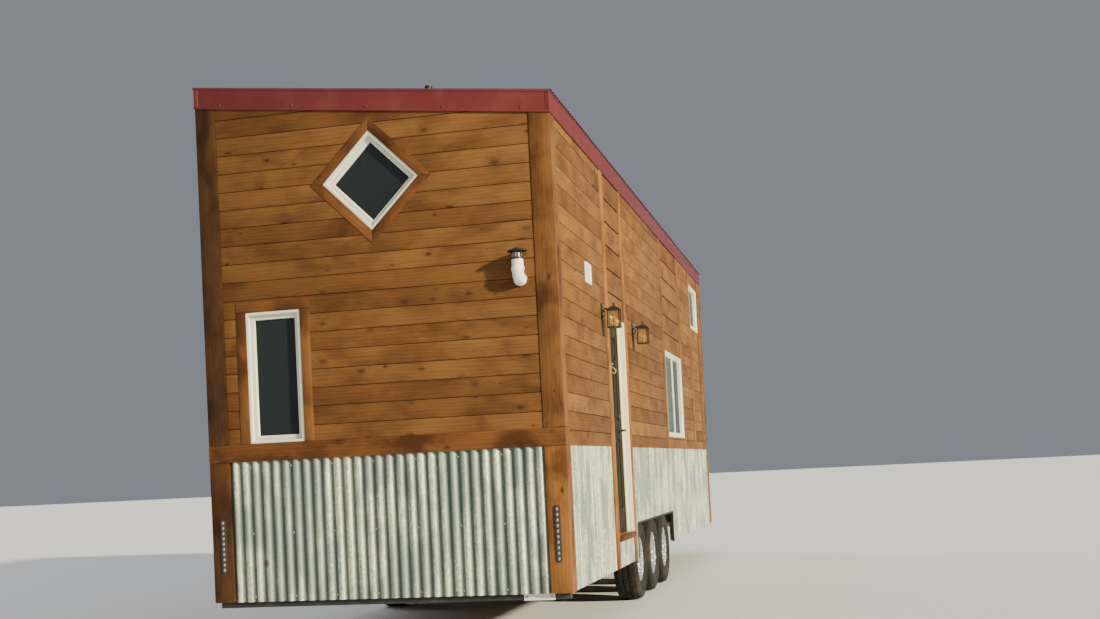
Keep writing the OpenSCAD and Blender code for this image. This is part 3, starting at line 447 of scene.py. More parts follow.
def makeLumber(name, light, dark, roughness=0.7, plank=None, paintedShadeSkin=False):
    material, tree, shader = startMaterial(name)
    place = addNode(tree, "TexCoord").outputs["Object"]
    growth = noiseNode(tree, stretched(tree, place, *lumberLook["growth"]), lumberLook["growthScale"], 4, 0.5,
                       1.2)
    fibre = noiseNode(tree, stretched(tree, place, *lumberLook["fibre"]), 1.0, 3)
    figure = mixFigures(tree, growth, fibre, lumberLook["growthShare"])
    colour = rampNode(tree, figure, [(0.3, fromScreen(*dark)), (0.7, fromScreen(*light))])
    if plank:
        axes = addNode(tree, "SeparateXYZ", links={0: place}).outputs
        row = mathNode(tree, "MULTIPLY", axes[plank["axis"]], 1 / plank["width"])
        edge = mathNode(tree, "PINGPONG", row, 0.5)
        groove = rangeNode(tree, edge, 0.0, lumberLook["grooveWidth"], 1.0, 0.0)
        shade = addNode(tree, "TexWhiteNoise", links={"W": mathNode(tree, "FLOOR", row)},
                        noise_dimensions="1D").outputs[0]
        colour = blendColour(tree, 1.0, colour, rampNode(tree, shade, [(0.0, 0.78), (1.0, 1.08)]), "MULTIPLY")
        darkness = mathNode(tree, "MULTIPLY", groove, lumberLook["grooveDark"])
        colour = blendColour(tree, darkness, colour, lumberLook["groove"])
        depth = mathNode(tree, "MULTIPLY", groove, lumberLook["grooveDeep"])
        figure = mathNode(tree, "SUBTRACT", figure, depth)
    if paintedShadeSkin:
        # painted shade: the wall's outside, behind the siding, is coloured near black
        skin = mathNode(tree, "GREATER_THAN", outsideWalls(tree, place), lumberLook["skinDeep"])
        colour = blendColour(tree, skin, colour, lumberLook["skin"])
    fillSockets(tree, shader, {"Base Color": colour, "Roughness": roughness})
    bumpInto(tree, shader, figure, lumberLook["bump"], lumberLook["relief"])
    return material


roomPanelling = makeLumber("pale room panelling", (214, 188, 150), (188, 156, 116),
                           plank={"axis": "Z", "width": 0.14}, paintedShadeSkin=True)
roomFloor = makeLumber("room floor planks", (150, 112, 76), (112, 80, 52), 0.5,
                       plank={"axis": "X", "width": 0.12})
sawnLumber = makeLumber("sawn lumber", (196, 160, 112), (158, 122, 80))


# Hot-dip zinc: crystals of slightly different brightness, long rain streaks, patches of painted tree shade
# that also read as weathering, painted shade in the valleys and a rust spot
def makeZinc(name, look):
    material, tree, shader = startMaterial(name)
    place = addNode(tree, "TexCoord").outputs["Object"]
    cells = addNode(tree, "TexVoronoi", {"Scale": look["crystals"], "Randomness": 1.0},
                    {"Vector": stretched(tree, place, 1, 1, 0.6)})
    crystal = addNode(tree, "SeparateColor", links={0: cells.outputs["Color"]}).outputs[0]
    streak = noiseNode(tree, stretched(tree, place, *look["streaks"]), 1.0, 5, 0.62)
    small = noiseNode(tree, stretched(tree, place, *look["smallShadePatches"]), 1.0, 3, 0.5)
    wide = noiseNode(tree, stretched(tree, place, *look["wideShadePatches"]), 1.0, 2, 0.5)
    shadePatch = mixFigures(tree, wide, small, look["wideShare"])
    figure = mixFigures(tree, crystal, streak, look["crystalShare"])
    colour = rampNode(tree, figure, [(0.34, look["dull"]), (0.46, look["mid"]), (0.62, look["bright"])])
    # painted shade: wide and small patches blend toward the shadow colour, as dappled tree shade that also
    # reads as weathering
    colour = blendColour(tree, rangeNode(tree, shadePatch, *look["shadePatchEdge"], 0.0, look["shadePatchAmount"]),
                         colour, look["shadow"])
    # painted shade: the valleys, close to the wall face, are blended toward the dark valley colour
    valley = rangeNode(tree, outsideWalls(tree, place), *look["valleyEdge"], look["valleyShade"], 0.0)
    colour = blendColour(tree, valley, colour, look["valley"])
    fromRust = addNode(tree, "VectorMath", {1: at(*look["rustPlace"])}, {0: place},
                       operation="DISTANCE").outputs[1]
    ragged = mathNode(tree, "MULTIPLY_ADD", streak, -look["rustRagged"], fromRust)
    rusty = rangeNode(tree, ragged, 0.0, look["rustSize"], 0.85, 0.0)
    colour = blendColour(tree, rusty, colour, look["rust"])
    roughness = rangeNode(tree, figure, 0.1, 0.9, look["roughness"] + 0.14, look["roughness"] - 0.06)
    fillSockets(tree, shader, {"Base Color": colour, "Metallic": look["metallic"], "Roughness": roughness})
    bumpInto(tree, shader, crystal, look["bump"], look["relief"])
    return material


zincSheet = makeZinc("galvanised sheet", {
    "crystals": 85, "crystalShare": 0.16, "streaks": (38, 38, 1.3), "smallShadePatches": (7, 7, 3.2),
    "wideShadePatches": (2.4, 2.4, 1.3), "wideShare": 0.45, "dull": fromScreen(136, 150, 144),
    "mid": fromScreen(196, 206, 184), "bright": fromScreen(252, 253, 220),
    "shadow": fromScreen(128, 142, 140), "shadePatchEdge": (0.44, 0.57), "shadePatchAmount": 0.72,
    "valley": fromScreen(76, 88, 82), "valleyEdge": (0.005, 0.016), "valleyShade": 0.86,
    "rust": fromScreen(112, 86, 52), "rustPlace": (-0.900, 0.012, 0.664), "rustSize": 0.022,
    "rustRagged": 0.03, "metallic": 0.6, "roughness": 0.42, "bump": 0.08, "relief": 0.0006,
})


# Painted and moulded finishes: an even colour with dust, faint mottling and a fine skin
paintLook = {"cloud": 5.5, "paler": 1.5, "leastPale": 0.004, "mottle": 0.12, "dustFrom": 0.45,
             "dustFull": 0.78, "smoother": 0.05, "rougher": 0.12, "relief": 0.0005}


def makeFinish(name, colour, roughness, metallic=0.0, dust=None, dustAmount=0.25, grit=240.0, gritBump=0.12,
               coat=0.0, specular=0.5):
    material, tree, shader = startMaterial(name)
    place = addNode(tree, "TexCoord").outputs["Object"]
    cloud = noiseNode(tree, place, paintLook["cloud"], 6, 0.62)
    skin = noiseNode(tree, place, grit, 2, 0.5)
    base = fromScreen(*colour)
    pale = tuple(min(1.0, v * paintLook["paler"] + paintLook["leastPale"]) for v in base)
    base = blendColour(tree, rangeNode(tree, skin, 0.3, 0.8, 0.0, paintLook["mottle"]), base, pale)
    if dust:
        dusty = rangeNode(tree, cloud, paintLook["dustFrom"], paintLook["dustFull"], 0.0, dustAmount)
        base = blendColour(tree, dusty, base, fromScreen(*dust))
    roughness = rangeNode(tree, cloud, 0.3, 0.75, roughness - paintLook["smoother"],
                          roughness + paintLook["rougher"])
    fillSockets(tree, shader, {"Base Color": base, "Roughness": roughness, "Metallic": metallic,
                               "Coat Weight": coat, "Specular IOR Level": specular})
    bumpInto(tree, shader, skin, gritBump, paintLook["relief"])
    return material


roadDust = (120, 104, 84)
redFlashing = makeFinish("red flashing paint", (94, 35, 37), 0.38, dust=(118, 64, 60), dustAmount=0.3,
                         coat=0.1, specular=0.35)
roofPaint = makeFinish("dark red roof paint", (66, 27, 25), 0.38, dust=(96, 62, 54), dustAmount=0.4)
windowVinyl = makeFinish("white window vinyl", (216, 220, 202), 0.32, dust=(182, 186, 166), dustAmount=0.3)
jambPaint = makeFinish("white jamb paint", (250, 242, 202), 0.42, dust=(230, 216, 172))
doorPaint = makeFinish("dark brown door paint", (26, 22, 18), 0.6, dust=(40, 34, 27), specular=0.1)
chassisPaint = makeFinish("black chassis paint", (32, 32, 33), 0.42, dust=roadDust, dustAmount=0.3)
springPaint = makeFinish("black spring paint", (26, 26, 26), 0.55, dust=(104, 70, 46), dustAmount=0.4)
tankPlastic = makeFinish("black tank plastic", (28, 28, 28), 0.6, dust=roadDust)
blackCoat = makeFinish("black powder coat", (22, 22, 23), 0.45, grit=900, gritBump=0.3)
ventPlastic = makeFinish("white vent plastic", (246, 246, 240), 0.25, dust=(226, 222, 206))
capPlastic = makeFinish("black cap plastic", (24, 24, 24), 0.5)
tyreRubber = makeFinish("tyre rubber", (28, 27, 26), 0.8, dust=(98, 82, 60), dustAmount=0.6, grit=420,
                        gritBump=0.3, specular=0.25)
wheelEnamel = makeFinish("silver wheel enamel", (190, 193, 196), 0.3, metallic=0.75, dust=roadDust,
                         dustAmount=0.35, coat=0.3)
zincSteel = makeFinish("zinc plated steel", (176, 178, 176), 0.36, metallic=0.9, dust=roadDust)
brassMetal = makeFinish("aged brass", (234, 208, 140), 0.34, metallic=0.85, dust=(150, 122, 70))
stripPlastic = makeFinish("dark lamp housing", (46, 39, 34), 0.5)
plateWhite = makeFinish("white number plate", (226, 226, 220), 0.35, dust=roadDust, dustAmount=0.15)
# near black, painted shade for the backing behind open joints
jointShadeSheet = makeFinish("painted shade behind open joints", (26, 17, 12), 0.9)
blindFabric = makeFinish("pale blind slats", (206, 206, 198), 0.6, dust=(170, 168, 158))


# Glass and clear plastic with a faint haze in wide patches
glassLook = {"haze": (1.6, 1.6, 1.1), "paler": 1.25, "rougher": 0.02, "bending": 1.5}


def makeGlass(name, tint, roughness, transmission):
    material, tree, shader = startMaterial(name)
    place = addNode(tree, "TexCoord").outputs["Object"]
    haze = noiseNode(tree, stretched(tree, place, *glassLook["haze"]), 1.0, 3, 0.5)
    pale = tuple(min(1.0, v * glassLook["paler"]) for v in tint)
    colour = rampNode(tree, haze, [(0.3, tint), (0.8, pale)])
    roughness = rangeNode(tree, haze, 0.3, 0.8, roughness, roughness + glassLook["rougher"])
    fillSockets(tree, shader, {"Base Color": colour, "Roughness": roughness, "IOR": glassLook["bending"],
                               "Transmission Weight": transmission})
    return material


# the rear panes are near-black glass, painted shade of the unlit room behind them
paneWithPaintedShade = makeGlass("pane darkened as painted interior shade", (0.030, 0.038, 0.042), 0.0, 0.6)
clearPane = makeGlass("pale green pane", (0.50, 0.60, 0.46), 0.0, 0.96)
lanternGlass = makeGlass("amber lantern glass", (0.82, 0.66, 0.40), 0.02, 0.94)
frostedBulb = makeGlass("amber bulb", (0.72, 0.50, 0.24), 0.4, 0.2)
lensPlastic = makeFinish("clear lamp lenses", (128, 122, 116), 0.28, metallic=0.2, coat=0.3)
print("materials made")


# siding: one course of boards after another, with butt joints on the long walls
siding = {
    "course": 0.130,
    "gap": 0.0035,
    "thick": 0.020,
    "edge": 0.0035,
    "jointGap": 0.0015,
    "lengths": (2.44, 3.05, 3.66),
    "jointsOver": 3,
    "leastLength": 0.6,
    "leastBoard": 0.010,
    # the end walls' tones are capped lower than the sides' as painted shade
    "endWallsShadedTopTone": 0.6,
    "toneBend": 0.7,
    "underEndFascia": 0.08,
    "underSideFascia": 0.07,
    "tallFoot": 1.4,
    "holeEdge": 0.01,
}
windows = {
    "tall": {"x": -0.770, "z": 1.510, "width": 0.408, "height": 0.928},
    "diamond": {"x": 0.0, "z": 3.296, "half": 0.350},
    "wide": {"y": 5.600, "z": 1.510, "width": 1.450, "height": 0.928},
    "loft": {"y": 8.360, "z": 2.926, "width": 0.840, "height": 0.556},
}
casing = {"narrow": 0.072, "wide": 0.140, "diamond": 0.093, "reveal": 0.010, "tallTones": (0.40, 0.50, 0.28),
          "frontTones": (0.5, 0.6, 0.4), "diamondTones": (0.22, 0.28, 0.36, 0.16)}
door = {"y": 2.036, "width": 0.770, "jamb": 0.020, "sillZ": 0.655, "top": 2.445}
louvre = {"start": 1.077, "stop": 1.269, "low": 2.624, "high": 2.756, "rim": 0.012, "out": 0.032, "blades": 5,
          "bladeDepth": 0.028, "bladeThick": 0.0028, "tilt": 50, "bladeOut": 0.018, "lip": 0.003, "in": 0.010,
          "round": 0.004, "backIn": 0.008, "backOut": 0.014, "backRound": 0.001, "bladeRound": 0.0008}
wide, loft, tall, diamond = windows["wide"], windows["loft"], windows["tall"], windows["diamond"]
wideEnd = wide["y"] + wide["width"]
loftEnd = loft["y"] + loft["width"]
tallTop = tall["z"] + tall["height"]
loftTop = loft["z"] + loft["height"]
doorStart = door["y"] - door["jamb"]
doorStop = door["y"] + door["width"] + door["jamb"]
surroundStart = door["y"] - casing["reveal"] - casing["wide"]
surroundStop = door["y"] + door["width"] + casing["reveal"] + casing["wide"]
endReach = halfWidth - cornerWidth
farCorner = length - cornerWidth


def boardRuns(start, stop):
    # where the boards of one course start and end along a wall
    cuts = [start]
    if stop - start > siding["jointsOver"]:
        reach = start + rng.choice(siding["lengths"])
        while reach < stop - siding["leastLength"]:
            cuts.append(reach)
            reach += rng.choice(siding["lengths"])
    cuts.append(stop)
    return zip(cuts, cuts[1:])


def layCourses(axis, face, away, start, stop, low, high, topTone=1.0):
    # boards run along axis on a wall whose face is at face, and stand out by away, 1 or -1
    boards = []
    depths = (face, face + away * siding["thick"])
    z = low
    while z < high - siding["leastBoard"]:
        course = siding["course"] if z >= house["bandTop"] - 0.001 else house["bandTop"] - bandZ
        top = min(z + course - siding["gap"], high)
        for first, last in boardRuns(start, stop):
            ends = zip((first + siding["jointGap"], last - siding["jointGap"]), depths, (z, top))
            corners = [at(out, along, up) if axis else at(along, out, up) for along, out, up in ends]
            board = roundBlock(*corners, siding["edge"])
            boards.append(setGrain(board, axis, topTone * rng.random() ** siding["toneBend"]))
        z += course
    return boards


def endSiding(face, away):
    # the boards end a few centimetres inside the fascia, which covers them. Their tones stay below those of
    # the side walls, a painted shade that darkens both end walls.
    wall = joinAll(layCourses(0, face, away, -endReach, endReach, house["bandTop"], roofLine(-endReach),
                              siding["endWallsShadedTopTone"]))
    return trimAbove(wall, at(0, 0, roofLine(0) - siding["underEndFascia"]), slopeNormal)


rearSiding = endSiding(thick, -1)
cutEnd(rearSiding, 0, tall["x"], tall["width"] / 2 + casing["narrow"], siding["tallFoot"],
       tallTop + casing["narrow"])
half = (diamond["half"] + casing["diamond"]) / math.sqrt(2)
cutOut(rearSiding, moveInto(addBlock((-half, -through, -half), (half, through, half)),
                            at(0, 0, diamond["z"]), (0, 45, 0)))
finishPiece("rear_siding", rearSiding, sidingBoards, "siding")
frontSiding = endSiding(length - thick, 1)
cutEnd(frontSiding, length, 0, loft["width"] / 2 + casing["narrow"], loft["z"], loftTop + casing["narrow"])
finishPiece("front_siding", frontSiding, sidingBoards, "siding")


def sideSiding(name, side):
    top = roofLine(side * wallX) - siding["underSideFascia"]
    spans = [(wideEnd + casing["wide"], loft["y"] - casing["wide"], bandZ, top),
             (loft["y"], loftEnd, bandZ, top),
             (loftEnd + casing["wide"], farCorner, bandZ, top)]
    if side > 0:
        spans += [(cornerWidth, surroundStart, bandZ, top),
                  (surroundStop, wide["y"] - casing["wide"], bandZ, top),
                  (wide["y"], wideEnd, bandZ, wide["z"])]
    else:
        spans += [(cornerWidth, wide["y"] - casing["wide"], bandZ, top), (wide["y"], wideEnd, bandZ, top)]
    boards = []
    for span in spans:
        boards += layCourses(1, side * wallX, side, *span)
    wall = joinAll(boards)
    for hole in [loft] if side > 0 else [loft, wide]:
        start, stop = hole["y"] - siding["holeEdge"], hole["y"] + hole["width"] + siding["holeEdge"]
        cutSide(wall, side, start, stop, hole["z"], hole["z"] + hole["height"])
    if side > 0:
        cutSide(wall, side, louvre["start"], louvre["stop"], louvre["low"], louvre["high"])
    finishPiece(name, wall, sidingBoards, "siding")


sideSiding("right_siding", 1)
sideSiding("left_siding", -1)
print("siding laid")


# trim boards: corners, the band across each end, the doorway and the windows. A tone runs from 0, dark, to 1,
# and the left-hand corner boards sit at the dark end as painted shade.
trim = {"edge": 0.004, "bandProud": 0.003, "gap": 0.001, "bandCap": tall["z"] - 0.003, "underFascia": 0.03,
        "bandTone": 0.22, "cornerTonesLeftShaded": {-1: (0.0, 0.02), 1: (0.50, 0.85)}, "sideTones": (0.55, 0.62, 0.5)}
trimFoot = trim["bandCap"] + trim["gap"]


def trimBoard(low, high, axis, tone=None):
    return setGrain(roundBlock(low, high, trim["edge"]), axis, tone)


def sideBoard(side, start, stop, low, high, tone=None):
    # an upright board on a side wall
    return trimBoard(at(side * wallX, start, low), at(side * halfWidth, stop, high), 2, tone)


cornerParts = []
for side in (-1, 1):
    near, far = side * endReach, side * halfWidth
    heights = ((trimFoot, fasciaFoot(side * halfWidth) + trim["underFascia"]),
               (house["skirtZ"], bandZ - trim["gap"]))
    for onEnd, onSide in (((0, thick), (thick, cornerWidth)),
                          ((length - thick, length), (farCorner, length - thick))):
        # the left-hand corners' near-zero tones are painted shade
        for (low, high), endTone, sideTone in zip(heights, trim["cornerTonesLeftShaded"][side], trim["sideTones"]):
            cornerParts.append(trimBoard(at(near, onEnd[0], low), at(far, onEnd[1], high), 2, endTone))
            cornerParts.append(sideBoard(side, *onSide, low, high, sideTone))
        cornerParts.append(sideBoard(side, *onSide, bandZ, trim["bandCap"], trim["sideTones"][2]))
cornerTrim = trimAbove(joinAll(cornerParts), at(0, 0, fasciaFoot(0)), slopeNormal)
finishPiece("corner_trim", cornerTrim, trimBoards, "trim_wood", "corner_boards")
bandParts = [trimBoard(at(-halfWidth, y0, bandZ), at(halfWidth, y1, trim["bandCap"]), 0, trim["bandTone"])
             for y0, y1 in ((-trim["bandProud"], thick), (length - thick, length + trim["bandProud"]))]
finishPiece("band_trim", bandParts, trimBoards, "trim_wood", "band_boards")

# flat trims beside the doorway, and its sill
sill = {"height": 0.045, "out": 0.020, "drop": 0.016, "edge": 0.003, "tone": 0.15, "trimTones": (0.95, 1.0)}
sideTop = fasciaFoot(halfWidth)
underSill = door["sillZ"] - sill["height"]
doorParts = [
    trimBoard(at(wallX, surroundStart, house["skirtZ"]),
              at(halfWidth + trim["gap"], door["y"] - trim["gap"], sideTop), 2, sill["trimTones"][0]),
    trimBoard(at(wallX, doorStop, house["skirtZ"]), at(halfWidth, surroundStop, sideTop), 2,
              sill["trimTones"][1]),
]
doorSill = addBlock(at(wallX, doorStart, underSill), at(halfWidth + sill["out"], doorStop, door["sillZ"]))
trimAbove(doorSill, at(halfWidth, 0, door["sillZ"]), (sill["drop"], 0, sill["out"]))
doorParts.append(setGrain(softEdges(doorSill, sill["edge"]), 1, sill["tone"]))
finishPiece("door_trim", doorParts, trimBoards, "siding", "door_surround")

# boards with open joints over the doorway and the wide window, and a near-black backing behind them that
# paints the joints' shade
infill = {"pitch": 0.200, "joint": 0.012, "inset": 0.008, "backing": 0.006, "round": 0.001,
          "tones": (0.25, 0.9)}
infillBoards = []
infillBacks = []
for start, stop, low in ((doorStart, doorStop, door["top"] + door["jamb"]),
                         (wide["y"], wideEnd, wide["z"] + wide["height"])):
    count = round((sideTop - low) / infill["pitch"])
    pitch = (sideTop - low) / count
    infillBacks.append(roundBlock(at(wallX, start, low), at(wallX + infill["backing"], stop, sideTop),
                                  infill["round"]))
    for i in range(count):
        lift = infill["joint"] / 2 if i else 0
        drop = infill["joint"] / 2 if i < count - 1 else 0
        board = trimBoard(at(wallX + infill["backing"], start + trim["gap"], low + i * pitch + lift),
                          at(halfWidth - infill["inset"], stop - trim["gap"], low + (i + 1) * pitch - drop),
                          1, rng.uniform(*infill["tones"]))
        infillBoards.append(board)
finishPiece("infill_boards", infillBoards, sidingBoards, "siding", "infill_panels")
finishPiece("infill_backing", infillBacks, jointShadeSheet, "siding", angle=None)


# window casings: flat boards beside the side windows, three boards round the end windows, four on the diamond
def mitredBoard(inner, outer, tone):
    board = addBlock((-outer, 0, inner), (outer, thick, outer))
    trimAbove(board, (0, 0, 0), (1, 0, -1))
    trimAbove(board, (0, 0, 0), (-1, 0, -1))
    return setGrain(softEdges(board, trim["edge"]), 0, tone)


def endCasing(centreX, low, width, top, tones):
    near, far = centreX - width / 2, centreX + width / 2
    side = casing["narrow"]
    return [trimBoard(at(near - side, 0, low), at(near, thick, top), 2, tones[0]),
            trimBoard(at(far, 0, low), at(far + side, thick, top), 2, tones[1]),
            trimBoard(at(near - side, 0, top + trim["gap"]), at(far + side, thick, top + side), 0, tones[2])]


casingParts = endCasing(tall["x"], trimFoot, tall["width"], tallTop, casing["tallTones"])
casingParts += [moveInto(board, (0, length - thick, 0))
                for board in endCasing(0, loft["z"], loft["width"], loftTop, casing["frontTones"])]
for i, tone in enumerate(casing["diamondTones"]):
    diagonal = math.sqrt(0.5)
    board = mitredBoard(diamond["half"] * diagonal, (diamond["half"] + casing["diamond"]) * diagonal, tone)
    casingParts.append(moveInto(board, at(0, 0, diamond["z"]), (0, 45 + 90 * i, 0)))
for side in (-1, 1):
    for y in (wide["y"] - casing["wide"], wideEnd, loft["y"] - casing["wide"], loftEnd):
        casingParts.append(sideBoard(side, y, y + casing["wide"], bandZ, fasciaFoot(side * halfWidth)))
finishPiece("window_trim", casingParts, trimBoards, "trim_wood", "window_casings")
print("trim boards made")


# corrugated skirt: sheets that lap one over the next, with capped screws in their valleys
skirt = {
    "pitch": 0.0762,
    "depth": 0.0172,
    "metal": 0.0012,
    "waveSteps": 16,
    "sheetWaves": 9,
    "lap": 0.0014,
    "screwEvery": 4,
    "firstScrew": 2,
    "screwRows": (0.035, 0.480, 0.950),
    "sillRow": 0.100,
}
opening = {"start": 3.060, "stop": 5.600, "top": 0.720, "edge": 0.018, "back": 0.002, "round": 0.003,
           "below": 0.2, "screwGap": 0.1}
notch = {"x": 0.612, "half": 0.053, "top": 0.456, "below": 0.3}
screwHead = {"washer": [(0.0085, 0), (0.0085, 0.001), (0.006, 0.0028)],
             "head": [(0.0046, 0.002), (0.0046, 0.0062), (0.0036, 0.0070)]}
walls = {
    "rear": {"turn": 0, "place": lambda u, z: at(u, thick, z), "way": 1},
    "right": {"turn": 90, "place": lambda u, z: at(wallX, u, z), "way": 1},
    "left": {"turn": -90, "place": lambda u, z: at(-wallX, u, z), "way": -1},
    "front": {"turn": 180, "place": lambda u, z: at(u, length - thick, z), "way": -1},
}


def ontoWall(obj, wall, u, z, out=0.0):
    # a piece drawn facing -Y goes onto a wall, at a distance u along it
    moveInto(obj, (0, -out, 0))
    return moveInto(obj, walls[wall]["place"](u, z), (0, 0, walls[wall]["turn"]))


def corrugatedSheet(waves, pitch, look, height):
    # one wave is a grid whose columns are moved out, and an array repeats it along X
    deselectAll()
    bpy.ops.mesh.primitive_grid_add(x_subdivisions=skirt["waveSteps"], y_subdivisions=1, size=1)
    sheet = bpy.context.object
    for vertex in sheet.data.vertices:
        along, up = vertex.co.x + 0.5, vertex.co.y + 0.5
        vertex.co = (along * pitch, -look["depth"] / 2 * (1 - math.cos(2 * math.pi * along)), up * height)
    repeatAlong(sheet, waves, (pitch, 0, 0), use_merge_vertices=True, merge_threshold=0.0001)
    return useModifier(sheet, "SOLIDIFY", thickness=look["metal"], offset=1)


def lappedSheets(look, span, height, place):
    # sheets side by side over a span, placed by their distance along it and their distance out
    waves = round(span / skirt["pitch"])
    pitch = span / waves
    made = []
    for number, wave in enumerate(range(0, waves, look["sheetWaves"])):
        sheet = corrugatedSheet(min(look["sheetWaves"] + 1, waves - wave), pitch, look, height)
        made.append(place(sheet, wave * pitch, number % 2 * look["lap"]))
    return made


def capScrew(scale=1.0):
    # hexagonal head on a washer, drawn facing -Y with its seat at the origin
    parts = [turnShape([(radius * scale, height) for radius, height in screwHead[part]], sides)
             for part, sides in (("washer", 16), ("head", 6))]
    return moveInto(joinAll(parts), (0, 0, 0), (90, 0, 0))


def screwRow(wall, start, stop, z):
    # screws along one wall, in every fourth valley
    waves = round((stop - start) / skirt["pitch"])
    pitch = (stop - start) / waves
    count = max(1, (waves - 1) // skirt["screwEvery"])
    row = repeatAlong(capScrew(), count, (skirt["screwEvery"] * pitch, 0, 0))
    inset = skirt["firstScrew"] * pitch
    first = start + inset if walls[wall]["way"] > 0 else stop - inset
    return ontoWall(row, wall, first, z, skirt["metal"])


sheets = []
screws = []


def coverWall(wall, start, stop, rows, top=bandZ):
    # sheets and rows of screws along one stretch of a wall
    low = house["skirtZ"]
    way = walls[wall]["way"]
    first = start if way > 0 else stop
    run = lappedSheets(skirt, stop - start, top - low,
                       lambda sheet, along, out: ontoWall(sheet, wall, first + way * along, low, out))
    sheets.extend(run)
    screws.extend(screwRow(wall, start, stop, low + z) for z in rows)
    return run


allRows = skirt["screwRows"]
coverWall("rear", -endReach, endReach, allRows)
for sheet in coverWall("front", -endReach, endReach, allRows[1:]):
    for side in (-1, 1):
        cutEnd(sheet, length, side * notch["x"], notch["half"], notch["below"], notch["top"])
coverWall("right", cornerWidth, surroundStart, allRows)
coverWall("right", doorStart, doorStop, [skirt["sillRow"]], underSill)
edging = []
for wall, side, start in (("right", 1, surroundStop), ("left", -1, cornerWidth)):
    for sheet in coverWall(wall, start, farCorner, allRows[1:]):
        ys = [corner[1] for corner in sheet.bound_box]
        if max(ys) > at(0, opening["start"], 0).y and min(ys) < at(0, opening["stop"], 0).y:
            cutSide(sheet, side, opening["start"], opening["stop"], opening["below"], opening["top"])
    footRow = house["skirtZ"] + allRows[0]
    screws.append(screwRow(wall, opening["stop"] + opening["screwGap"], farCorner, footRow))
    near, far = side * (wallX - opening["back"]), side * (halfWidth - opening["back"])
    arch = roundBlock(at(near, opening["start"], house["skirtZ"]), at(far, opening["stop"], opening["top"]),
                      opening["round"])
    edging.append(cutSide(arch, side, opening["start"] + opening["edge"], opening["stop"] - opening["edge"],
                          opening["below"], opening["top"] - opening["edge"]))
skirtSheets = [sheet for sheet in sheets if sheet.data.vertices]
finishPiece("skirt_sheets", skirtSheets, zincSheet, "galvanised", "corrugated_skirt", angle=40)
finishPiece("skirt_screws", screws, zincSteel, "galvanised")
finishPiece("opening_edging", edging, blackCoat, "black_metal")
print("skirt made")


# roof sheets, their waves run down the slope
roof = {"over": 0.012, "endOver": 0.006, "sheetHeight": 0.016, "depth": 0.0125, "metal": 0.0012,
        "lap": 0.0014, "sheetWaves": 12, "screwEvery": 4, "firstScrew": 1.5,
        "screwRows": (0.06, 0.68, 1.30, 1.92, 2.54)}
roofAngle = math.atan(house["roofSlope"])
roofEdge = halfWidth + roof["over"]
downSlope = Vector((math.cos(roofAngle), 0, -math.sin(roofAngle)))


def ontoRoof(obj, u, out=0.0):
    # a piece drawn facing -Y, with its waves along X, goes onto the roof: u runs from the front to the rear
    moveInto(obj, (0, -out, 0))
    start = at(-roofEdge, length + roof["endOver"] - u, roofLine(-roofEdge) - roof["sheetHeight"])
    turned = Matrix((Vector((0, -1, 0)), -slopeNormal, downSlope)).transposed().to_4x4()
    obj.matrix_world = Matrix.Translation(start) @ turned
    return settle(obj)


roofSpan = length + 2 * roof["endOver"]
roofWaves = round(roofSpan / skirt["pitch"])
roofPitch = roofSpan / roofWaves
roofSheets = lappedSheets(roof, roofSpan, 2 * roofEdge / math.cos(roofAngle), ontoRoof)
roofScrews = []
for down in roof["screwRows"]:
    row = repeatAlong(capScrew(), roofWaves // roof["screwEvery"], (roof["screwEvery"] * roofPitch, 0, 0))
    moveInto(row, (0, 0, down))
    roofScrews.append(ontoRoof(row, roof["firstScrew"] * roofPitch, roof["depth"] + roof["metal"]))
finishPiece("roof_sheets", roofSheets, roofPaint, "roof_metal", "roof_sheet", angle=40)
finishPiece("roof_screws", roofScrews, roofPaint, "roof_metal")

# fascia: the lengths of flashing lap each other, fold round the corners and are held by small screws
flashing = {"proud": 0.004, "metal": 0.0012, "lapWidth": 0.045, "tab": 0.030, "joints": (3.05, 6.10, 9.15),
            "screwStep": 0.61, "topGap": 0.030, "footGap": 0.016, "edge": 0.0005, "screwSize": 0.75,
            "firstScrew": 0.25, "sideRows": (0.030, 0.135), "endRow": 0.030,
            "endScrews": (-1.1, -0.55, 0, 0.55, 1.1)}
refineNode("fascia", "fascia_flashing", redFlashing, "fascia_metal", 0.0012)
laps = []
fasciaScrews = []
proud = flashing["proud"]
flashingX = halfWidth + proud
for side in (-1, 1):
    low = fasciaFoot(side * flashingX) + flashing["footGap"]
    high = roofLine(side * flashingX) - flashing["topGap"]
    near, far = side * flashingX, side * (flashingX + flashing["metal"])
    for y in flashing["joints"]:
        laps.append(roundBlock(at(near, y, low), at(far, y + flashing["lapWidth"], high),
                               flashing["edge"], 1))
    for y0, y1 in ((-proud - flashing["metal"], -proud),
                   (length + proud, length + proud + flashing["metal"])):
        x0, x1 = sorted((side * flashingX, side * (flashingX - flashing["tab"])))
        slant = max(roofLine(x0) - roofLine(x1), 0.0)
        laps.append(roundBlock(at(x0, y0, fasciaFoot(x0) + flashing["footGap"]),
                               at(x1, y1, roofLine(x1) - flashing["topGap"] + slant * 0.5),
                               flashing["edge"], 1))
    count = int(length / flashing["screwStep"])
    for z in flashing["sideRows"]:
        row = repeatAlong(capScrew(flashing["screwSize"]), count, (flashing["screwStep"], 0, 0))
        y = flashing["firstScrew"] + (0 if side > 0 else (count - 1) * flashing["screwStep"])
        fasciaScrews.append(moveInto(row, at(side * flashingX, y, fasciaFoot(side * flashingX) + z),
                                     (0, 0, 90 * side)))
for y, turn in ((-proud, 0), (length + proud, 180)):
    for x in flashing["endScrews"]:
        screw = capScrew(flashing["screwSize"])
        fasciaScrews.append(moveInto(screw, at(x, y, fasciaFoot(x) + flashing["endRow"]), (0, 0, turn)))
finishPiece("fascia_laps", laps, redFlashing, "fascia_metal", angle=None)
finishPiece("fascia_screws", fasciaScrews, redFlashing, "fascia_metal")
print("roof and fascia made")

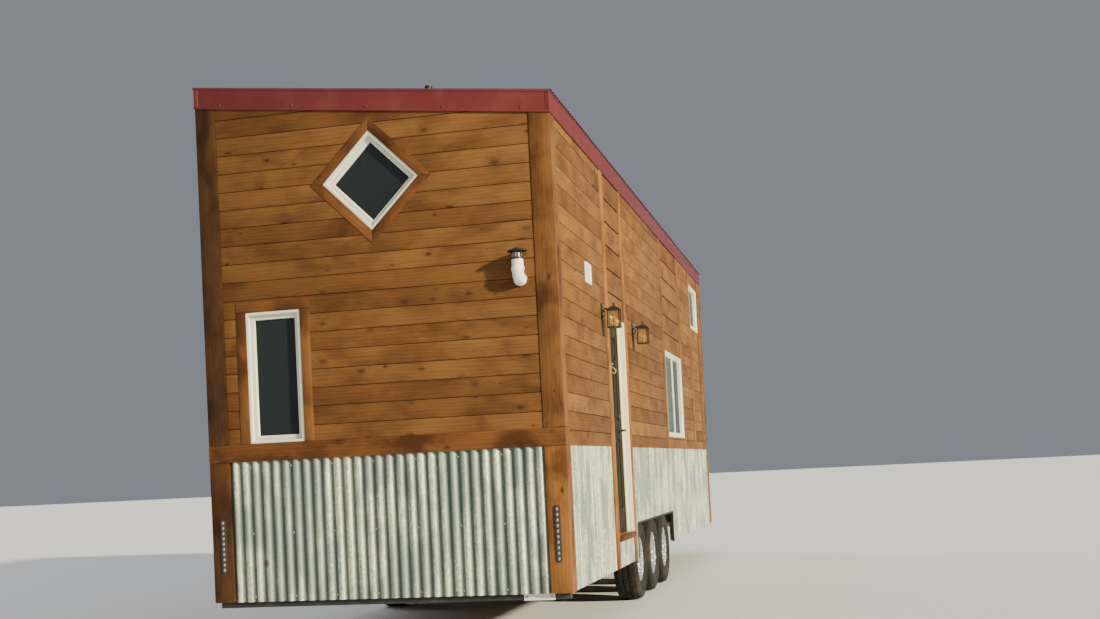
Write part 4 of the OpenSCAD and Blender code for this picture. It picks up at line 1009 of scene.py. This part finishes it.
# windows: an outer frame, a groove, a sash with a sloped bead, all inset step by step from one block. Those
# in the rear wall sit deep in their frames, the others are nearly flush.
windowKinds = {
    "deep": {"face": 0.018, "glass": 0.046, "steps": [
        (0.0030, 0.0000), (0.0150, 0.0000), (0.0010, -0.0280), (0.0040, 0.0000), (0.0006, -0.0040),
        (0.0024, 0.0000), (0.0006, 0.0040), (0.0205, 0.0000), (0.0050, -0.0060), (0.0009, -0.0100)]},
    "flush": {"face": 0.024, "glass": 0.024, "steps": [
        (0.0030, 0.0000), (0.0180, 0.0000), (0.0010, -0.0080), (0.0025, 0.0000), (0.0006, -0.0040),
        (0.0024, 0.0000), (0.0006, 0.0040), (0.0190, 0.0000), (0.0050, -0.0050), (0.0009, -0.0090)]},
}
windowFrame = {"depth": 0.080, "bar": 0.054, "edge": 0.0008, "paneEdge": 0.0525, "paneThick": 0.008,
               "paneRound": 0.0006}
slider = {"stile": 0.024, "front": 0.018, "back": 0.036, "into": 0.004, "round": 0.003, "lipIn": 0.004,
          "lipOut": 0.005, "lipProud": 0.003, "lipBack": 0.008, "smallRound": 0.002, "latchHalf": 0.008,
          "latchProud": 0.006, "latchBack": 0.002, "latchLow": 0.45, "latchHigh": 0.51}


def selectFacing(obj, normal):
    # selects the outermost face that looks along a direction
    best = max((face for face in obj.data.polygons if face.normal.dot(Vector(normal)) > 0.99),
               key=lambda face: face.center.dot(Vector(normal)))
    for face in obj.data.polygons:
        face.select = face.index == best.index
    for edge in obj.data.edges:
        edge.select = False
    for vertex in obj.data.vertices:
        vertex.select = vertex.index in best.vertices


def windowRing(width, height, kind):
    # drawn facing -Y, its face on Y = 0 and its lower middle at the origin
    ring = addBlock((-width / 2, 0, 0), (width / 2, windowFrame["depth"], height))
    pick(ring)
    selectFacing(ring, (0, -1, 0))
    bpy.ops.object.mode_set(mode="EDIT")
    bpy.ops.mesh.select_mode(type="FACE")
    for thickness, depth in windowKinds[kind]["steps"]:
        bpy.ops.mesh.inset(thickness=thickness, depth=depth)
    bpy.ops.mesh.delete(type="FACE")
    bpy.ops.object.mode_set(mode="OBJECT")
    selectFacing(ring, (0, 1, 0))
    bpy.ops.object.mode_set(mode="EDIT")
    bpy.ops.mesh.inset(thickness=windowFrame["bar"], depth=0)
    bpy.ops.mesh.delete(type="FACE")
    bpy.ops.mesh.select_mode(type="EDGE")
    bpy.ops.mesh.select_all(action="DESELECT")
    bpy.ops.mesh.select_non_manifold()
    bpy.ops.mesh.bridge_edge_loops()
    bpy.ops.mesh.select_all(action="SELECT")
    bpy.ops.mesh.normals_make_consistent(inside=False)
    bpy.ops.object.mode_set(mode="OBJECT")
    return softEdges(ring, windowFrame["edge"], 2, 30)


def paneBlock(width, height, kind):
    edge = windowFrame["paneEdge"]
    front = windowKinds[kind]["glass"]
    return roundBlock((-width / 2 + edge, front, edge),
                      (width / 2 - edge, front + windowFrame["paneThick"], height - edge),
                      windowFrame["paneRound"], 1)


rings = []
panes = {"deep": [], "flush": []}
deepFace = thick - windowKinds["deep"]["face"]
square = diamond["half"] * math.sqrt(2)
for maker, store in ((windowRing, rings), (paneBlock, panes["deep"])):
    store.append(moveInto(maker(tall["width"], tall["height"], "deep"), at(tall["x"], deepFace, tall["z"])))
    turned = moveInto(maker(square, square, "deep"), (0, 0, -square / 2))
    store.append(moveInto(turned, at(0, deepFace, diamond["z"]), (0, 45, 0)))


def slidingSash(height):
    # the stile where two sashes meet, with its lip and latch
    half = slider["stile"] / 2
    front = slider["front"]
    low, high = windowFrame["bar"], height - windowFrame["bar"]
    into = slider["into"]
    return [
        roundBlock((-half, front, low - into), (half, slider["back"], high + into), slider["round"]),
        roundBlock((half - slider["lipIn"], front - slider["lipProud"], low),
                   (half + slider["lipOut"], front + slider["lipBack"], high), slider["smallRound"]),
        roundBlock((-slider["latchHalf"], front - slider["latchProud"], slider["latchLow"]),
                   (slider["latchHalf"], front + slider["latchBack"], slider["latchHigh"]),
                   slider["smallRound"]),
    ]


def flushWindow(wall, middle, opened, sliding=False):
    ring = [windowRing(opened["width"], opened["height"], "flush")]
    if sliding:
        ring += slidingSash(opened["height"])
    pane = paneBlock(opened["width"], opened["height"], "flush")
    for piece, store in ((joinAll(ring), rings), (pane, panes["flush"])):
        store.append(ontoWall(piece, wall, middle, opened["z"], windowKinds["flush"]["face"]))


for wall in ("right", "left"):
    flushWindow(wall, wide["y"] + wide["width"] / 2, wide, True)
    flushWindow(wall, loft["y"] + loft["width"] / 2, loft)
flushWindow("front", 0, loft)
finishPiece("window_vinyl", rings, windowVinyl, "white_vinyl", "window_frames")
finishPiece("rear_panes", panes["deep"], paneWithPaintedShade, "window_glass", "window_glass", angle=None)
finishPiece("side_panes", panes["flush"], clearPane, "window_glass", angle=None)

# blinds behind the rear sash of the wide window and behind the loft window of the door side
blind = {"slat": 0.026, "pitch": 0.024, "metal": 0.0008, "tilt": 62, "behind": 0.030, "inset": 0.07,
         "head": 0.03, "headHalf": 0.02, "headRound": 0.003, "slatRound": 0.0003}


def hangBlind(start, stop, low, high):
    half = blind["slat"] / 2
    slat = roundBlock((0, -half, 0), (stop - start, half, blind["metal"]), blind["slatRound"], 1)
    moveInto(slat, (0, 0, 0), (blind["tilt"], 0, 0))
    repeatAlong(slat, int((high - low) / blind["pitch"]), (0, 0, blind["pitch"]))
    head = roundBlock((0, -blind["headHalf"], high - low - blind["head"]),
                      (stop - start, blind["headHalf"], high - low), blind["headRound"])
    return moveInto(joinAll([slat, head]), at(wallX - blind["behind"], start, low), (0, 0, 90))


blinds = [hangBlind(opened["y"] + blind["inset"], stop, opened["z"] + blind["inset"],
                    opened["z"] + opened["height"] - blind["inset"])
          for opened, stop in ((wide, wide["y"] + wide["width"] / 2), (loft, loftEnd - blind["inset"]))]
finishPiece("window_blinds", blinds, blindFabric, "white_plastic", angle=None)
print("windows made")

# doorway: the leaf and its frame keep their CAD shape with eased edges
refineNode("door_leaf", "door_leaf_panelled", doorPaint, "door_paint", 0.0012, body="door")
refineNode("door_handle", "door_lever", blackCoat, "black_metal", body="door")
refineNode("door_frame", "door_jambs", jambPaint, "white_paint", 0.0010)


def rod(points, radius):
    # a round bar along a smooth curve, made a mesh
    curve = bpy.data.curves.new("rod", "CURVE")
    curve.dimensions = "3D"
    curve.bevel_depth = radius
    curve.bevel_resolution = 3
    curve.resolution_u = 6
    curve.use_fill_caps = True
    spline = curve.splines.new("BEZIER")
    spline.bezier_points.add(len(points) - 1)
    for point, place in zip(spline.bezier_points, points):
        point.co = place
        point.handle_left_type = point.handle_right_type = "AUTO"
    bar = bpy.data.objects.new("rod", curve)
    bpy.context.scene.collection.objects.link(bar)
    pick(bar)
    bpy.ops.object.convert(target="MESH")
    return faceOut(bpy.context.object)


def capsulePlate(width, height, depth, edge=0.001):
    # a plate with round ends, drawn facing -Y and centred: a circle whose upper half is moved up
    deselectAll()
    bpy.ops.mesh.primitive_cylinder_add(vertices=32, radius=width / 2, depth=depth,
                                        location=(0, -depth / 2, 0), rotation=(math.radians(90), 0, 0))
    plate = settle(bpy.context.object)
    stretch = (height - width) / 2
    for vertex in plate.data.vertices:
        vertex.co.z += stretch if vertex.co.z > 0.0001 else -stretch
    return softEdges(plate, edge, 2, 40)


# brass hook on the near door trim
hook = {
    "y": 1.958, "z": 2.022, "width": 0.024, "height": 0.100, "thick": 0.004, "wire": 0.0045,
    "arm": [(0, -0.003, 0.012), (0, -0.030, -0.004), (0, -0.044, -0.030), (0, -0.030, -0.048),
            (0, -0.020, -0.036)],
    "knob": [(0.002, 0), (0.006, 0.002), (0.008, 0.007), (0.006, 0.012), (0.002, 0.014)],
    "knobPlace": (0, -0.014, 0.030),
}
hookParts = [capsulePlate(hook["width"], hook["height"], hook["thick"]), rod(hook["arm"], hook["wire"]),
             moveInto(turnShape(hook["knob"], 20), hook["knobPlace"], (90, 0, 0))]
brassHook = moveInto(joinAll(hookParts), at(halfWidth, hook["y"], hook["z"]), (0, 0, 90))
finishPiece("brass_hook", brassHook, brassMetal, "lamp_chrome")

# coach lanterns: a round-ended plate, a short arm and a glazed box under a low hipped roof. The profiles of
# the roof, base and glass hold half widths and heights, the others radii and heights.
lantern = {
    "ys": (1.710, 3.310), "z": 2.470, "out": 0.100, "half": 0.0455, "post": 0.0042, "eave": -0.012,
    "foot": -0.145, "plateWidth": 0.056, "plateHeight": 0.142, "plateThick": 0.008, "plateZ": -0.022,
    "boss": [(0.018, 0), (0.017, 0.006), (0.011, 0.012), (0.009, 0.016)], "bossPlace": (0, -0.008, 0.004),
    "arm": [(0, -0.006, 0.004), (0, -0.030, 0.006), (0, -0.056, 0.004), (0, -0.078, 0.010)],
    "brace": [(0, -0.006, -0.062), (0, -0.022, -0.050), (0, -0.030, -0.030), (0, -0.022, -0.014),
              (0, -0.014, -0.022)],
    "armRadius": 0.0075, "braceRadius": 0.004,
    "roof": [(0.0500, -0.0130), (0.0550, -0.0110), (0.0550, -0.0070), (0.0500, -0.0040), (0.0310, 0.0110),
             (0.0150, 0.0200), (0.0090, 0.0230)],
    "finial": [(0.0070, 0.0215), (0.0048, 0.0290), (0.0080, 0.0340), (0.0095, 0.0385), (0.0080, 0.0430),
               (0.0036, 0.0470), (0.0018, 0.0530)],
    "base": [(0.0480, -0.1440), (0.0520, -0.1465), (0.0520, -0.1500), (0.0440, -0.1530), (0.0120, -0.1540)],
    "glass": [(0.0430, -0.1445), (0.0430, -0.0120), (0.0405, -0.0120), (0.0405, -0.1445), (0.0430, -0.1445)],
    "bulb": [(0.0110, -0.142), (0.0110, -0.112), (0.0120, -0.104), (0.0155, -0.090), (0.0150, -0.076),
             (0.0090, -0.062), (0.0030, -0.052)],
}


def squareTurn(profile, closed=False):
    # as a turned shape, with four sides that face square to the wall
    shape = turnShape([(half * math.sqrt(2), height) for half, height in profile], 4, closed)
    return moveInto(shape, (0, 0, 0), (0, 0, 45))


def lanternMetal():
    plate = capsulePlate(lantern["plateWidth"], lantern["plateHeight"], lantern["plateThick"], 0.002)
    moveInto(plate, (0, 0, lantern["plateZ"]))
    boss = moveInto(turnShape(lantern["boss"], 24), lantern["bossPlace"], (90, 0, 0))
    arm = rod(lantern["arm"], lantern["armRadius"])
    brace = rod(lantern["brace"], lantern["braceRadius"])
    box = [squareTurn(lantern["roof"]), turnShape(lantern["finial"], 20), squareTurn(lantern["base"])]
    half, post = lantern["half"], lantern["post"]
    for x in (-half, half):
        for y in (-half, half):
            low, high = (x - post, y - post, lantern["foot"]), (x + post, y + post, lantern["eave"])
            box.append(roundBlock(low, high, 0.0012))
    return joinAll([plate, boss, arm, brace, moveInto(joinAll(box), (0, -lantern["out"], 0))])


metals = []
glasses = []
bulbs = []
for y in lantern["ys"]:
    place = at(wallX + siding["thick"], y, lantern["z"])
    metals.append(moveInto(lanternMetal(), place, (0, 0, 90)))
    glass = squareTurn(lantern["glass"], True)
    for piece, store in ((glass, glasses), (turnShape(lantern["bulb"], 24), bulbs)):
        moveInto(piece, (0, -lantern["out"], 0))
        store.append(moveInto(piece, place, (0, 0, 90)))
finishPiece("lantern_metal", metals, blackCoat, "black_metal", "lanterns")
finishPiece("lantern_glass", glasses, lanternGlass, "black_metal")
finishPiece("lantern_bulbs", bulbs, frostedBulb, "black_metal")

# the elbow keeps its CAD shape, and the louvre beside it is built anew below
elbow = refineNode("wall_vents", "vent_elbow", ventPlastic, "white_plastic", 0, 40)
cutOut(elbow, addBlock(at(wallX - 0.05, 0.9, 2.5), at(wallX + 0.1, 1.4, 2.9)))

# the elbow's hood: a thin brim on a slotted collar, with the pipe's end inside
hood = {
    "x": 1.038, "y": -0.060, "foot": 2.645, "inner": 0.0385, "outer": 0.0430, "band": 0.013, "top": 0.058,
    "topBand": 0.008, "bars": 10, "barWidth": 0.009, "barFoot": 0.006, "barHead": 0.054, "barRound": 0.0008,
    "brim": [(0.0300, 0.0570), (0.0640, 0.0560), (0.0662, 0.0540), (0.0680, 0.0560), (0.0662, 0.0595),
             (0.0480, 0.0655), (0.0270, 0.0750), (0.0180, 0.0790), (0.0070, 0.0805)],
    "pipe": [(0.0290, -0.004), (0.0330, -0.004), (0.0330, 0.046), (0.0290, 0.046), (0.0290, -0.004)],
}


def hoodRing(low, high):
    inner, outer = hood["inner"], hood["outer"]
    return turnShape([(inner, low), (outer, low), (outer, high), (inner, high), (inner, low)], 40, True)


hoodParts = [turnShape(hood["brim"], 40), hoodRing(0.0, hood["band"]),
             hoodRing(hood["top"] - hood["topBand"], hood["top"])]
for i in range(hood["bars"]):
    bar = roundBlock((hood["inner"], -hood["barWidth"] / 2, hood["barFoot"]),
                     (hood["outer"], hood["barWidth"] / 2, hood["barHead"]), hood["barRound"], 1)
    hoodParts.append(moveInto(bar, (0, 0, 0), (0, 0, 360 / hood["bars"] * i)))
hoodPlace = at(hood["x"], hood["y"], hood["foot"])
wallHood = moveInto(joinAll(hoodParts), hoodPlace)
finishPiece("pipe_end", moveInto(turnShape(hood["pipe"], 36, True), hoodPlace), ventPlastic, "white_plastic")

# pipe through the roof, in its flashing
capsLow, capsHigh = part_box("vent_caps")
roofPipe = {"x": capsLow.x - house["midX"] + 0.0795, "y": 0.150, "top": capsHigh.z, "radius": 0.025,
            "lip": 0.003, "lipHeight": 0.010,
            "collar": [(0.0800, 0.0005), (0.0780, 0.0030), (0.0480, 0.0105), (0.0400, 0.0120)]}
pipeFoot = roofLine(roofPipe["x"])
pipeTall = roofPipe["top"] - pipeFoot
collar = moveInto(turnShape(roofPipe["collar"], 40), (0, 0, 0), (0, math.degrees(roofAngle), 0))
radius = roofPipe["radius"]
wider = radius + roofPipe["lip"]
underLip = pipeTall - roofPipe["lipHeight"]
stub = turnShape([(radius, 0.004), (radius, underLip - 0.002), (wider, underLip), (wider, pipeTall),
                  (radius - 0.002, pipeTall), (radius - 0.003, underLip)], 36)
roofStub = moveInto(joinAll([collar, stub]), at(roofPipe["x"], roofPipe["y"], pipeFoot))
finishPiece("vent_hoods", [wallHood, roofStub], capPlastic, "black_plastic", "vent_caps")

# louvre: a frame through the siding with slanting blades
rim, lip = louvre["rim"], louvre["lip"]
louvreFrame = roundBlock(at(wallX + louvre["in"], louvre["start"] - rim, louvre["low"] - rim),
                         at(wallX + louvre["out"], louvre["stop"] + rim, louvre["high"] + rim),
                         louvre["round"])
cutSide(louvreFrame, 1, louvre["start"] + lip, louvre["stop"] - lip, louvre["low"] + lip,
        louvre["high"] - lip)
backing = roundBlock(at(wallX + louvre["backIn"], louvre["start"], louvre["low"]),
                     at(wallX + louvre["backOut"], louvre["stop"], louvre["high"]), louvre["backRound"], 1)
louvreParts = [louvreFrame, backing]
for i in range(louvre["blades"]):
    z = louvre["low"] + (i + 0.5) * (louvre["high"] - louvre["low"]) / louvre["blades"]
    deep, thin = louvre["bladeDepth"] / 2, louvre["bladeThick"] / 2
    blade = roundBlock((-deep, 0, -thin), (deep, louvre["stop"] - louvre["start"], thin),
                       louvre["bladeRound"], 1)
    place = at(wallX + louvre["bladeOut"], louvre["start"], z)
    louvreParts.append(moveInto(blade, place, (0, louvre["tilt"], 0)))
finishPiece("louvre", louvreParts, ventPlastic, "white_plastic")

# lamp strip on each rear corner board: a dark base with ten clear lenses between its round ends
strip = {"x": 1.210, "low": 0.600, "high": 0.985, "width": 0.046, "depth": 0.005, "count": 10,
         "endGap": 0.026, "rim": 0.014, "rimOut": 0.0015, "lensOut": 0.0012, "lensStretch": (0.82, 1.1, 1),
         "lens": [(0.0120, 0), (0.0118, 0.0015), (0.0098, 0.0040), (0.0060, 0.0056), (0.0015, 0.0062)]}
stripTall = strip["high"] - strip["low"]
stripMiddle = (strip["low"] + strip["high"]) / 2
lensStep = (stripTall - 2 * strip["endGap"]) / (strip["count"] - 1)
stripBases = []
lenses = []
for side in (-1, 1):
    base = capsulePlate(strip["width"], stripTall, strip["depth"], 0.0012)
    well = capsulePlate(strip["width"] - strip["rim"], stripTall - strip["rim"], strip["rimOut"], 0.0005)
    moveInto(well, (0, -strip["depth"], 0))
    stripBases.append(moveInto(joinAll([base, well]), at(side * strip["x"], 0, stripMiddle)))
    for i in range(strip["count"]):
        lens = turnShape(strip["lens"], 20)
        lens.scale = strip["lensStretch"]
        place = at(side * strip["x"], -strip["depth"] - strip["lensOut"],
                   strip["low"] + strip["endGap"] + i * lensStep)
        lenses.append(moveInto(lens, place, (90, 0, 0)))
finishPiece("strip_bases", stripBases, stripPlastic, "lamp_chrome", "light_strips")
finishPiece("strip_lenses", lenses, lensPlastic, "lamp_chrome")

# bare plate and its bolts on the rear bumper
plate = {"low": 0.946, "high": 1.161, "z": 0.350, "height": 0.046, "y": 0.045, "thick": 0.003, "rim": 0.005,
         "rimFront": 0.0042, "rimBack": 0.0025, "round": 0.0012, "rimRound": 0.0006, "boltIn": 0.020}
low, high, tallness, rim = plate["low"], plate["high"], plate["height"], plate["rim"]
blank = roundBlock((low, -plate["thick"], 0), (high, 0, tallness), plate["round"])
raised = roundBlock((low, -plate["rimFront"], 0), (high, -plate["rimBack"], tallness), plate["rimRound"], 1)
cutOut(raised, addBlock((low + rim, -through, rim), (high - rim, through, tallness - rim)))
blankPlate = moveInto(joinAll([blank, raised]), at(0, plate["y"], plate["z"]))
finishPiece("blank_plate", blankPlate, plateWhite, "white_paint", angle=None)
plateBolts = [moveInto(capScrew(), at(x, plate["y"] - plate["thick"], plate["z"] + tallness / 2))
              for x in (low + plate["boltIn"], high - plate["boltIn"])]
finishPiece("plate_bolts", plateBolts, zincSteel, "lamp_chrome")
print("fittings made")


# running gear: tyres with rows of tread blocks round a carcass. Rows hold height, width, radius and lean.
tyre = {
    "steps": 72, "blocks": 60, "radius": 0.365, "crown": 0.3575, "gap": 0.0035, "blockDeep": 0.010,
    "carcass": [(0.1960, 0.0770), (0.2050, 0.0860), (0.2220, 0.0950), (0.2450, 0.1035), (0.2620, 0.1072),
                (0.2640, 0.1092), (0.2700, 0.1092), (0.2720, 0.1078), (0.2880, 0.1100), (0.3050, 0.1105),
                (0.3220, 0.1088), (0.3360, 0.1045), (0.3470, 0.0980), (0.3540, 0.0890), (0.3570, 0.0760)],
    "rows": [(0.0870, 0.026, 0.3610, 9), (0.0475, 0.032, 0.3650, 0), (0.0000, 0.036, 0.3655, 0),
             (-0.0475, 0.032, 0.3650, 0), (-0.0870, 0.026, 0.3610, -9)],
}


def makeTyre():
    # drawn round Z, with its middle at the origin
    half = tyre["carcass"]
    profile = half + [(tyre["crown"], 0.0)] + [(radius, -z) for radius, z in reversed(half)] + [half[0]]
    parts = [turnShape(profile, tyre["steps"], True)]
    pitch = 2 * math.pi / tyre["blocks"]
    reach = (pitch * tyre["radius"] - tyre["gap"]) / 2
    for number, (z, width, top, lean) in enumerate(tyre["rows"]):
        block = roundBlock((top - tyre["blockDeep"], -reach, -width / 2), (top, reach, width / 2), 0.0014, 1)
        moveInto(block, (0, 0, z), (0, lean, 0))
        row = []
        for i in range(tyre["blocks"]):
            row.append(copyOf(block))
            row[-1].data.transform(Matrix.Rotation((i + number % 2 * 0.5) * pitch, 4, "Z"))
        bpy.data.objects.remove(block)
        parts.append(joinAll(row))
    return smooth(joinAll(parts), 40)


tyreMould = makeTyre()
for side, turnWay in (("right", 90), ("left", -90)):
    for place in ("rear", "mid", "front"):
        corner = side + "_" + place
        body = corner + "_wheel"
        low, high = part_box("tyre_" + corner)
        piece = moveInto(copyOf(tyreMould), (low + high) / 2, (0, turnWay, 0))
        finishPiece("tread_" + corner, piece, tyreRubber, "tyre_rubber", "tyre_" + corner, body=body,
                    angle=None)
        refineNode("wheel_" + corner, "steel_wheel_" + corner, wheelEnamel, "wheel_silver", 0, 30, body)
bpy.data.objects.remove(tyreMould)

# chassis: rolled sections and plates with eased edges
chassis = {
    "main_rails": ("frame_rails", chassisPaint, "frame_paint", 0.0020),
    "crossmembers": ("frame_crossmembers", chassisPaint, "frame_paint", 0.0012),
    "tongue": ("tongue_rails", chassisPaint, "frame_paint", 0.0040),
    "rear_bumper": ("bumper_bar", chassisPaint, "frame_paint", 0.0030),
    "coupler": ("hitch_coupler", chassisPaint, "frame_paint", 0, 30),
    "tongue_jack": ("jack_post", zincSteel, "galvanised", 0, 30),
    "axles": ("axle_beams", chassisPaint, "frame_paint", 0, 30),
    "leaf_springs": ("spring_packs", springPaint, "frame_paint", 0, 30),
    "holding_tank": ("tank_shell", tankPlastic, "black_plastic", 0, 30),
    "wheel_wells": ("well_liners", tankPlastic, "black_plastic", 0.0015),
}
for node, look in chassis.items():
    refineNode(node, *look)
print("running gear made")


# studio: pale floor, soft lights and the camera
studio = {
    "floorColour": (0.70, 0.69, 0.67),
    "floorRoughness": 0.85,
    "worldColour": (0.80, 0.88, 1.0),
    "worldStrength": 0.28,
    "floorSize": 240,
    "key": {"from": (0.853, -0.380, 0.318), "strength": 9.0, "angle": 3, "colour": (1.0, 0.92, 0.66)},
    "top": {"from": (0.0, -0.1, 1.0), "strength": 0.9, "angle": 80, "colour": (0.97, 0.98, 1.0)},
    "back": {"from": (-0.75, 0.5, 0.45), "strength": 1.4, "angle": 40, "colour": (0.96, 0.97, 1.0)},
}
deselectAll()
bpy.ops.mesh.primitive_plane_add(size=studio["floorSize"], location=(0, 0, 0))
floor = bpy.context.object
floor.name = "studio_floor"
floorMaterial, floorTree, floorShader = startMaterial("pale studio floor")
fillSockets(floorTree, floorShader, {"Base Color": studio["floorColour"],
                                     "Roughness": studio["floorRoughness"]})
floor.data.materials.append(floorMaterial)

world = bpy.data.worlds.new("soft studio")
bpy.context.scene.world = world
world.use_nodes = True
fillSockets(world.node_tree, world.node_tree.nodes["Background"],
            {"Color": studio["worldColour"], "Strength": studio["worldStrength"]})


def softLight(name, look):
    # an even light from a far and wide source, so that its shadows have soft edges
    light = bpy.data.lights.new(name, "SUN")
    light.energy = look["strength"]
    light.angle = math.radians(look["angle"])
    light.color = look["colour"]
    lamp = bpy.data.objects.new(name, light)
    bpy.context.scene.collection.objects.link(lamp)
    lamp.rotation_euler = Vector(look["from"]).to_track_quat("Z", "Y").to_euler()


for name in ("key", "top", "back"):
    softLight(name + " light", studio[name])

view = {
    "lens": 44.605,
    "shiftX": 0.0206,
    "shiftY": 0.105,
    "place": (3.100, -8.937, 1.231),
    "yaw": 13.00,
    "pitch": 1.88,
    "roll": -2.84,
}
cameraData = bpy.data.cameras.new("camera")
cameraData.lens = view["lens"]
cameraData.sensor_width = 36
cameraData.sensor_fit = "HORIZONTAL"
cameraData.shift_x = view["shiftX"]
cameraData.shift_y = view["shiftY"]
cameraData.clip_end = 400
camera = bpy.data.objects.new("camera", cameraData)
bpy.context.scene.collection.objects.link(camera)
turn = (Matrix.Rotation(math.radians(view["yaw"]), 4, "Z")
        @ Matrix.Rotation(math.radians(90 + view["pitch"]), 4, "X")
        @ Matrix.Rotation(math.radians(view["roll"]), 4, "Z"))
camera.matrix_world = Matrix.Translation(at(*view["place"])) @ turn
bpy.context.scene.camera = camera
print("studio ready")


# finishes of the CAD nodes that stay as they are
def dress(material, *names):
    for name in names:
        mesh = nodes[name].data
        mesh.materials.clear()
        mesh.materials.append(material)


dress(roomPanelling, "rear_wall", "left_wall", "front_wall", "right_wall_rear", "right_wall_over_door",
      "right_wall_front", "roof_deck")
dress(roomFloor, "floor")
dress(sawnLumber, "rim_boards")
print("nodes dressed")
